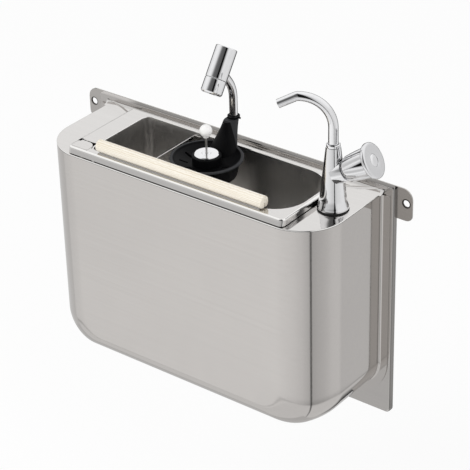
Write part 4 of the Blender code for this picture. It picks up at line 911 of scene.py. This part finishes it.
VALVE = TAP + Vector((0.0, 0.0, 0.0524))
valve_turn = Euler((0.0, math.pi / 2 - math.radians(29.7), math.radians(11.6))).to_matrix()
pillar_height = np.linspace(0.0952, 0.0050, 40)
share = (0.0952 - pillar_height) / 0.0902
pillar_radius = 0.0104 + 0.0100 * share + 0.0020 * np.clip((share - 0.86) / 0.14, 0, 1) ** 2
pillar_profile = np.vstack([
    [(0.0, 0.0782), (0.0079, 0.0782), (0.0079, 0.0952)], np.column_stack([pillar_radius, pillar_height]),
    [(0.0225, 0.0045), (0.0225, 0.0026), (0.0220, 0.0022), (0.0106, 0.0022), (0.0106, 0.0198),
     (0.0, 0.0198)]])
pillar = turned("tap_pillar", pillar_profile, TAP, steps=120)
boss = turned("boss_form", [
    (0.0, 0.0222), (0.0152, 0.0222), (0.0160, 0.0219), (0.0163, 0.0212), (0.0163, 0.004), (0.0, 0.004)],
    VALVE, valve_turn)
boss_bore = rod("boss_bore_form", 0.0086, 0.0125, 0.03, VALVE, valve_turn)
water_way = rod("water_way_form", 0.004, 0.016, 0.082, TAP, steps=32)
dress(reshaped(pillar, joined=(boss,), cut=(boss_bore, water_way)), "sink", "tap_body", chrome)

dress(turned("spout_base_collar", [
    (0.0092, 0.0998), (0.0098, 0.0990), (0.0098, 0.0955), (0.0079, 0.0955), (0.0079, 0.0998)],
    TAP, soft=0.0003), "sink", "spout_collar", chrome)

spout_low = 0.0785
spout_path = bent_path((0.0, spout_low), [
    (0.1232 - spout_low, 0.0487, math.radians(88)), (0.0, 0.010, math.radians(25)), (0.025, 0.0, 0.0)],
    steps=26)
walked = np.cumsum(np.linalg.norm(np.diff(spout_path, axis=0, prepend=spout_path[:1]), axis=1))
spout_radius = 0.0073 * (1 - 0.14 * walked / walked[-1])
dress(tube("spout_bend", spout_path, TAP, math.radians(218), spout_radius), "spout", "spout", chrome)

dress(turned("bonnet_sleeve", [
    (0.0108, 0.042), (0.0108, 0.0262), (0.0114, 0.0257), (0.0118, 0.0250), (0.0118, 0.0225),
    (0.0080, 0.0225), (0.0080, 0.0128), (0.0046, 0.0128), (0.0046, 0.042)], VALVE, valve_turn,
    soft=0.0003), "sink", "valve_bonnet", chrome)


def wheel_surface():
    """The handwheel: a flat disc on a five-lobed skirt.

    The skirt's radius goes between a valley and a lobe radius by |cos(5 a / 2)| to the power 0.55, so
    its lobes are round and its valleys sharp. The lobes widen towards the disc and the valleys don't.
    """
    rows = np.array([
        (0.0000, 0.0678), (0.0080, 0.0678), (0.0091, 0.0680), (0.0094, 0.0687), (0.0100, 0.0688),
        (0.0216, 0.0688), (0.0238, 0.0687), (0.0250, 0.0682), (0.0256, 0.0674), (0.0258, 0.0663),
        (0.0258, 0.0648), (0.0255, 0.0636), (0.0247, 0.0628), (0.0236, 0.0625), (0.0230, 0.0624),
        (0.0227, 0.0615), (0.0225, 0.0590), (0.0221, 0.0540), (0.0214, 0.0480), (0.0206, 0.0410),
        (0.0197, 0.0350), (0.0187, 0.0295), (0.0181, 0.0268), (0.0172, 0.0260), (0.0140, 0.0260),
        (0.0125, 0.0264), (0.0125, 0.0460), (0.0046, 0.0460), (0.0046, 0.0583), (0.0000, 0.0583)])
    fluted = np.zeros((30, 1))
    fluted[14:22] = 1.0
    fluted[22:24] = [[0.8], [0.3]]
    angle = np.linspace(0, TURN, 200, endpoint=False)
    lobe = np.abs(np.cos(2.5 * angle)) ** 0.55
    radius = rows[:, :1]
    height = rows[:, 1:]
    depth = np.interp(height, [0.026, 0.041, 0.056, 0.062], [0.13, 0.28, 0.42, 0.46])
    return about_axis(radius * (1 - fluted * depth * (1 - lobe)), angle, height)


wheel_axis = valve_turn @ Vector((0.0, 0.0, 1.0))
# The handwheel's chrome is painted dark in its flutes, as painted shade.
wheel_chrome = polished("wheel_chrome", (0.80, 0.80, 0.81), 0.07, (VALVE, wheel_axis))
dress(surface("fluted_handwheel", placed(wheel_surface(), VALVE, valve_turn), around=True, angle=38.0),
      "wheel", "handwheel", wheel_chrome)
dress(turned("wheel_cap_disc", [
    (0.0, 0.0695), (0.0045, 0.0694), (0.0074, 0.0690), (0.0086, 0.0685), (0.0089, 0.0681),
    (0.0, 0.0681)], VALVE, valve_turn, soft=0.0002, steps=64), "wheel", "wheel_cap", chrome)


# Solids that are shown as they are

for material, nodes in (
        (strap_steel, "hanging_strap"),
        (rim_steel, "divider_plate bar_rail"),
        (panel_steel, "waste_flange strainer"),
        (black, "standpipe standpipe_nut spray_plate"),
        (rubber, "valve_seal standpipe_washer tap_washer waste_gasket"),
        (grey, "waste_nut trap_body trap_dip_tube trap_cap trap_outlet"),
        (brass, "tap_shank tap_back_nut valve_spindle supply_tee"),
        (copper, "tap_feed_pipe rinse_feed_pipe inlet_pipe"),
        (chrome, "stop_valve stop_handle")):
    for node in nodes.split():
        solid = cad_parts[node]
        if not solid.material_slots:
            solid.data.materials.append(material)
        for slot in solid.material_slots:
            slot.material = material


# Camera, floor and light

azimuth = math.radians(38.07)
elevation = math.radians(30.13)
roll = math.radians(-1.55)
towards = Vector((math.sin(azimuth) * math.cos(elevation), -math.cos(azimuth) * math.cos(elevation),
                  math.sin(elevation)))
level = Vector((math.cos(azimuth), math.sin(azimuth), 0.0))
upright = towards.cross(level)
right = math.cos(roll) * level + math.sin(roll) * upright
up = -math.sin(roll) * level + math.cos(roll) * upright
camera_data = bpy.data.cameras.new("camera")
camera_data.sensor_width = 36.0
camera_data.lens = 1899.8 / 470 * 36.0
camera = bpy.data.objects.new("camera", camera_data)
axes = Matrix((right, up, towards)).transposed()
camera.matrix_world = Matrix.Translation((1.5153, -1.9589, 1.2917)) @ axes.to_4x4()
bpy.context.scene.collection.objects.link(camera)
bpy.context.scene.camera = camera


def bare_tree(owner):
    """The start of new nodes for a material or world, without the nodes it comes with."""
    owner.use_nodes = True
    owner.node_tree.nodes.clear()
    return Tone(owner.node_tree)


def seen_brightly(plain, bright, kinds):
    """Mix two shaders: the bright one for the listed kinds of ray, the plain one for the others."""
    share = plain.make("LightPath", output=kinds[0])
    for kind in kinds[1:]:
        share = share.reckon("MAXIMUM", share, plain.make("LightPath", output=kind))
    return plain.make("MixShader", {0: share, 1: plain, 2: bright})


floor = surface("floor", [
    [(-4.0, -4.0, -0.75), (-4.0, 4.0, -0.75)], [(4.0, -4.0, -0.75), (4.0, 4.0, -0.75)]])
floor_material = bpy.data.materials.new("pale_floor")
floor_tree = bare_tree(floor_material)
paint = floor_tree.make("BsdfDiffuse", {"Color": (0.98, 0.98, 0.98, 1.0)})
shine = floor_tree.make("Emission", {"Strength": 1.0})
half_lit = floor_tree.make("MixShader", {0: 0.7, 1: paint, 2: shine})
seen_brightly(paint, half_lit, ("Is Camera Ray",)).shown("Material")
floor.data.materials.append(floor_material)
floor.visible_glossy = False


def glowing_card(name, corners, strength):
    """A card beside the object that only bright metal sees: two rows of two corners, and its glow."""
    card = surface(name, corners)
    material = bpy.data.materials.new(name + "_glow")
    bare_tree(material).make("Emission", {"Strength": strength}).shown("Material")
    card.data.materials.append(material)
    card.visible_camera = False
    card.visible_diffuse = False
    card.visible_shadow = False


glowing_card("left_card", [
    [(-0.33, -0.20, -0.50), (-0.33, 0.05, -0.50)], [(-0.33, -0.20, 0.03), (-0.33, 0.05, 0.03)]], 0.72)
glowing_card("low_card", [
    [(-0.36, -0.19, -0.40), (0.24, -0.19, -0.40)], [(-0.36, 0.03, -0.40), (0.24, 0.03, -0.40)]], 0.66)

# The studio as bright metal sees it: brightness by bearing in degrees, from the front towards the
# right, for three heights. The walls are pale, the camera's side has a dark slit and a grey screen.
STUDIO_LOW = ((-180, 0.72), (-128, 0.70), (-116, 0.70), (-106, 0.80), (-99, 0.69), (-92, 0.65),
              (-86, 0.745), (-71, 0.855), (-48, 0.93), (-38, 1.0), (5, 0.92), (15, 0.89), (23, 0.85),
              (31, 0.82), (38, 0.76), (46, 0.70), (53, 0.60), (60, 0.60), (68, 0.64), (84, 0.69),
              (93, 0.73), (101, 0.775), (110, 0.81), (130, 0.82), (142, 0.705), (180, 0.72))
STUDIO_LEVEL = ((-180, 0.78), (-142, 0.88), (-90, 0.82), (-38, 0.62), (0, 0.60), (25, 0.50), (36, 0.42),
                (48, 0.60), (70, 0.80), (120, 0.80), (156, 0.70), (180, 0.78))
STUDIO_HIGH = ((-180, 1.0), (-60, 0.95), (-35, 0.80), (-20, 0.36), (-6, 0.14), (25, 0.10), (45, 0.08),
               (60, 0.40), (70, 0.80), (100, 0.92), (180, 1.0))
SLIT_BEARING = math.radians(53.0)
SLIT_SHIFT = math.radians(6.5)
AWAY = (-0.533, 0.681, -0.502)


def studio_brightness(start):
    """The studio's brightness in a direction: three rings of bearings above a pale ground.

    A darker skirting line runs between ground and walls, a slit leans, widens and darkens upwards, and
    a dark zone straight away from the camera draws the outlines of bright tubes.
    """
    ray = start.make("TexCoord", output=0)
    east, north, height = (ray.along(axis) for axis in range(3))
    bearing = east.reckon("ARCTAN2", east, north * -1.0)
    turn = bearing * (1 / TURN) + 0.5
    low, level, high = (turn.ramp([((degrees + 180) / 360, shade) for degrees, shade in stops])
                        for stops in (STUDIO_LOW, STUDIO_LEVEL, STUDIO_HIGH))
    walls = height.between(-0.66, -0.61).blend((0.84, 0.84, 0.84), low)
    walls = height.between(-0.45, -0.10).blend(walls, level)
    walls = height.between(0.05, 0.35).blend(walls, high)
    skirting = abs(height + 0.60).between(0.0, 0.022) * 0.35 + 0.65
    rise = height.between(-0.48, -0.38)
    off = abs(bearing - (SLIT_BEARING - rise * SLIT_SHIFT))
    half = height.make("MapRange", {"Value": height, "From Min": -0.5, "From Max": 0.5,
                                    "To Min": 0.026, "To Max": 0.16})
    slit = (off - half).between(0.0, 0.03)
    pale = 0.26 - rise * 0.23
    outline = ray.vector("DOT_PRODUCT", AWAY).between(0.58, 0.82)
    return walls, (slit * (1.0 - pale) + pale) * (1.0 - outline * 0.92) * skirting


WHITE = (1.0, 1.0, 1.0, 1.0)
world = bpy.data.worlds.new("studio")
world_tree = bare_tree(world)
soft = world_tree.make("Background", {"Color": WHITE, "Strength": 0.90})
clear = world_tree.make("Background", {"Color": WHITE, "Strength": 1.0})
shade, strength = studio_brightness(world_tree)
mirrored = world_tree.make("Background", {"Color": shade, "Strength": strength})
seen = seen_brightly(soft, clear, ("Is Camera Ray", "Is Transmission Ray"))
seen_brightly(seen, mirrored, ("Is Glossy Ray",)).shown("World")
bpy.context.scene.world = world

for lamp_name, place, power, size in (
        ("key_light", (-1.2, -2.2, 2.2), 14.0, 1.6), ("fill_light", (2.2, -1.2, 1.4), 8.0, 1.4)):
    lamp_data = bpy.data.lights.new(lamp_name, "AREA")
    lamp_data.energy = power
    lamp_data.size = size
    lamp = bpy.data.objects.new(lamp_name, lamp_data)
    lamp.location = place
    aim = Vector((0.0, -0.08, -0.1)) - Vector(place)
    lamp.rotation_euler = aim.to_track_quat("-Z", "Y").to_euler()
    lamp.visible_glossy = False
    bpy.context.scene.collection.objects.link(lamp)

bpy.context.scene.view_settings.view_transform = "Standard"
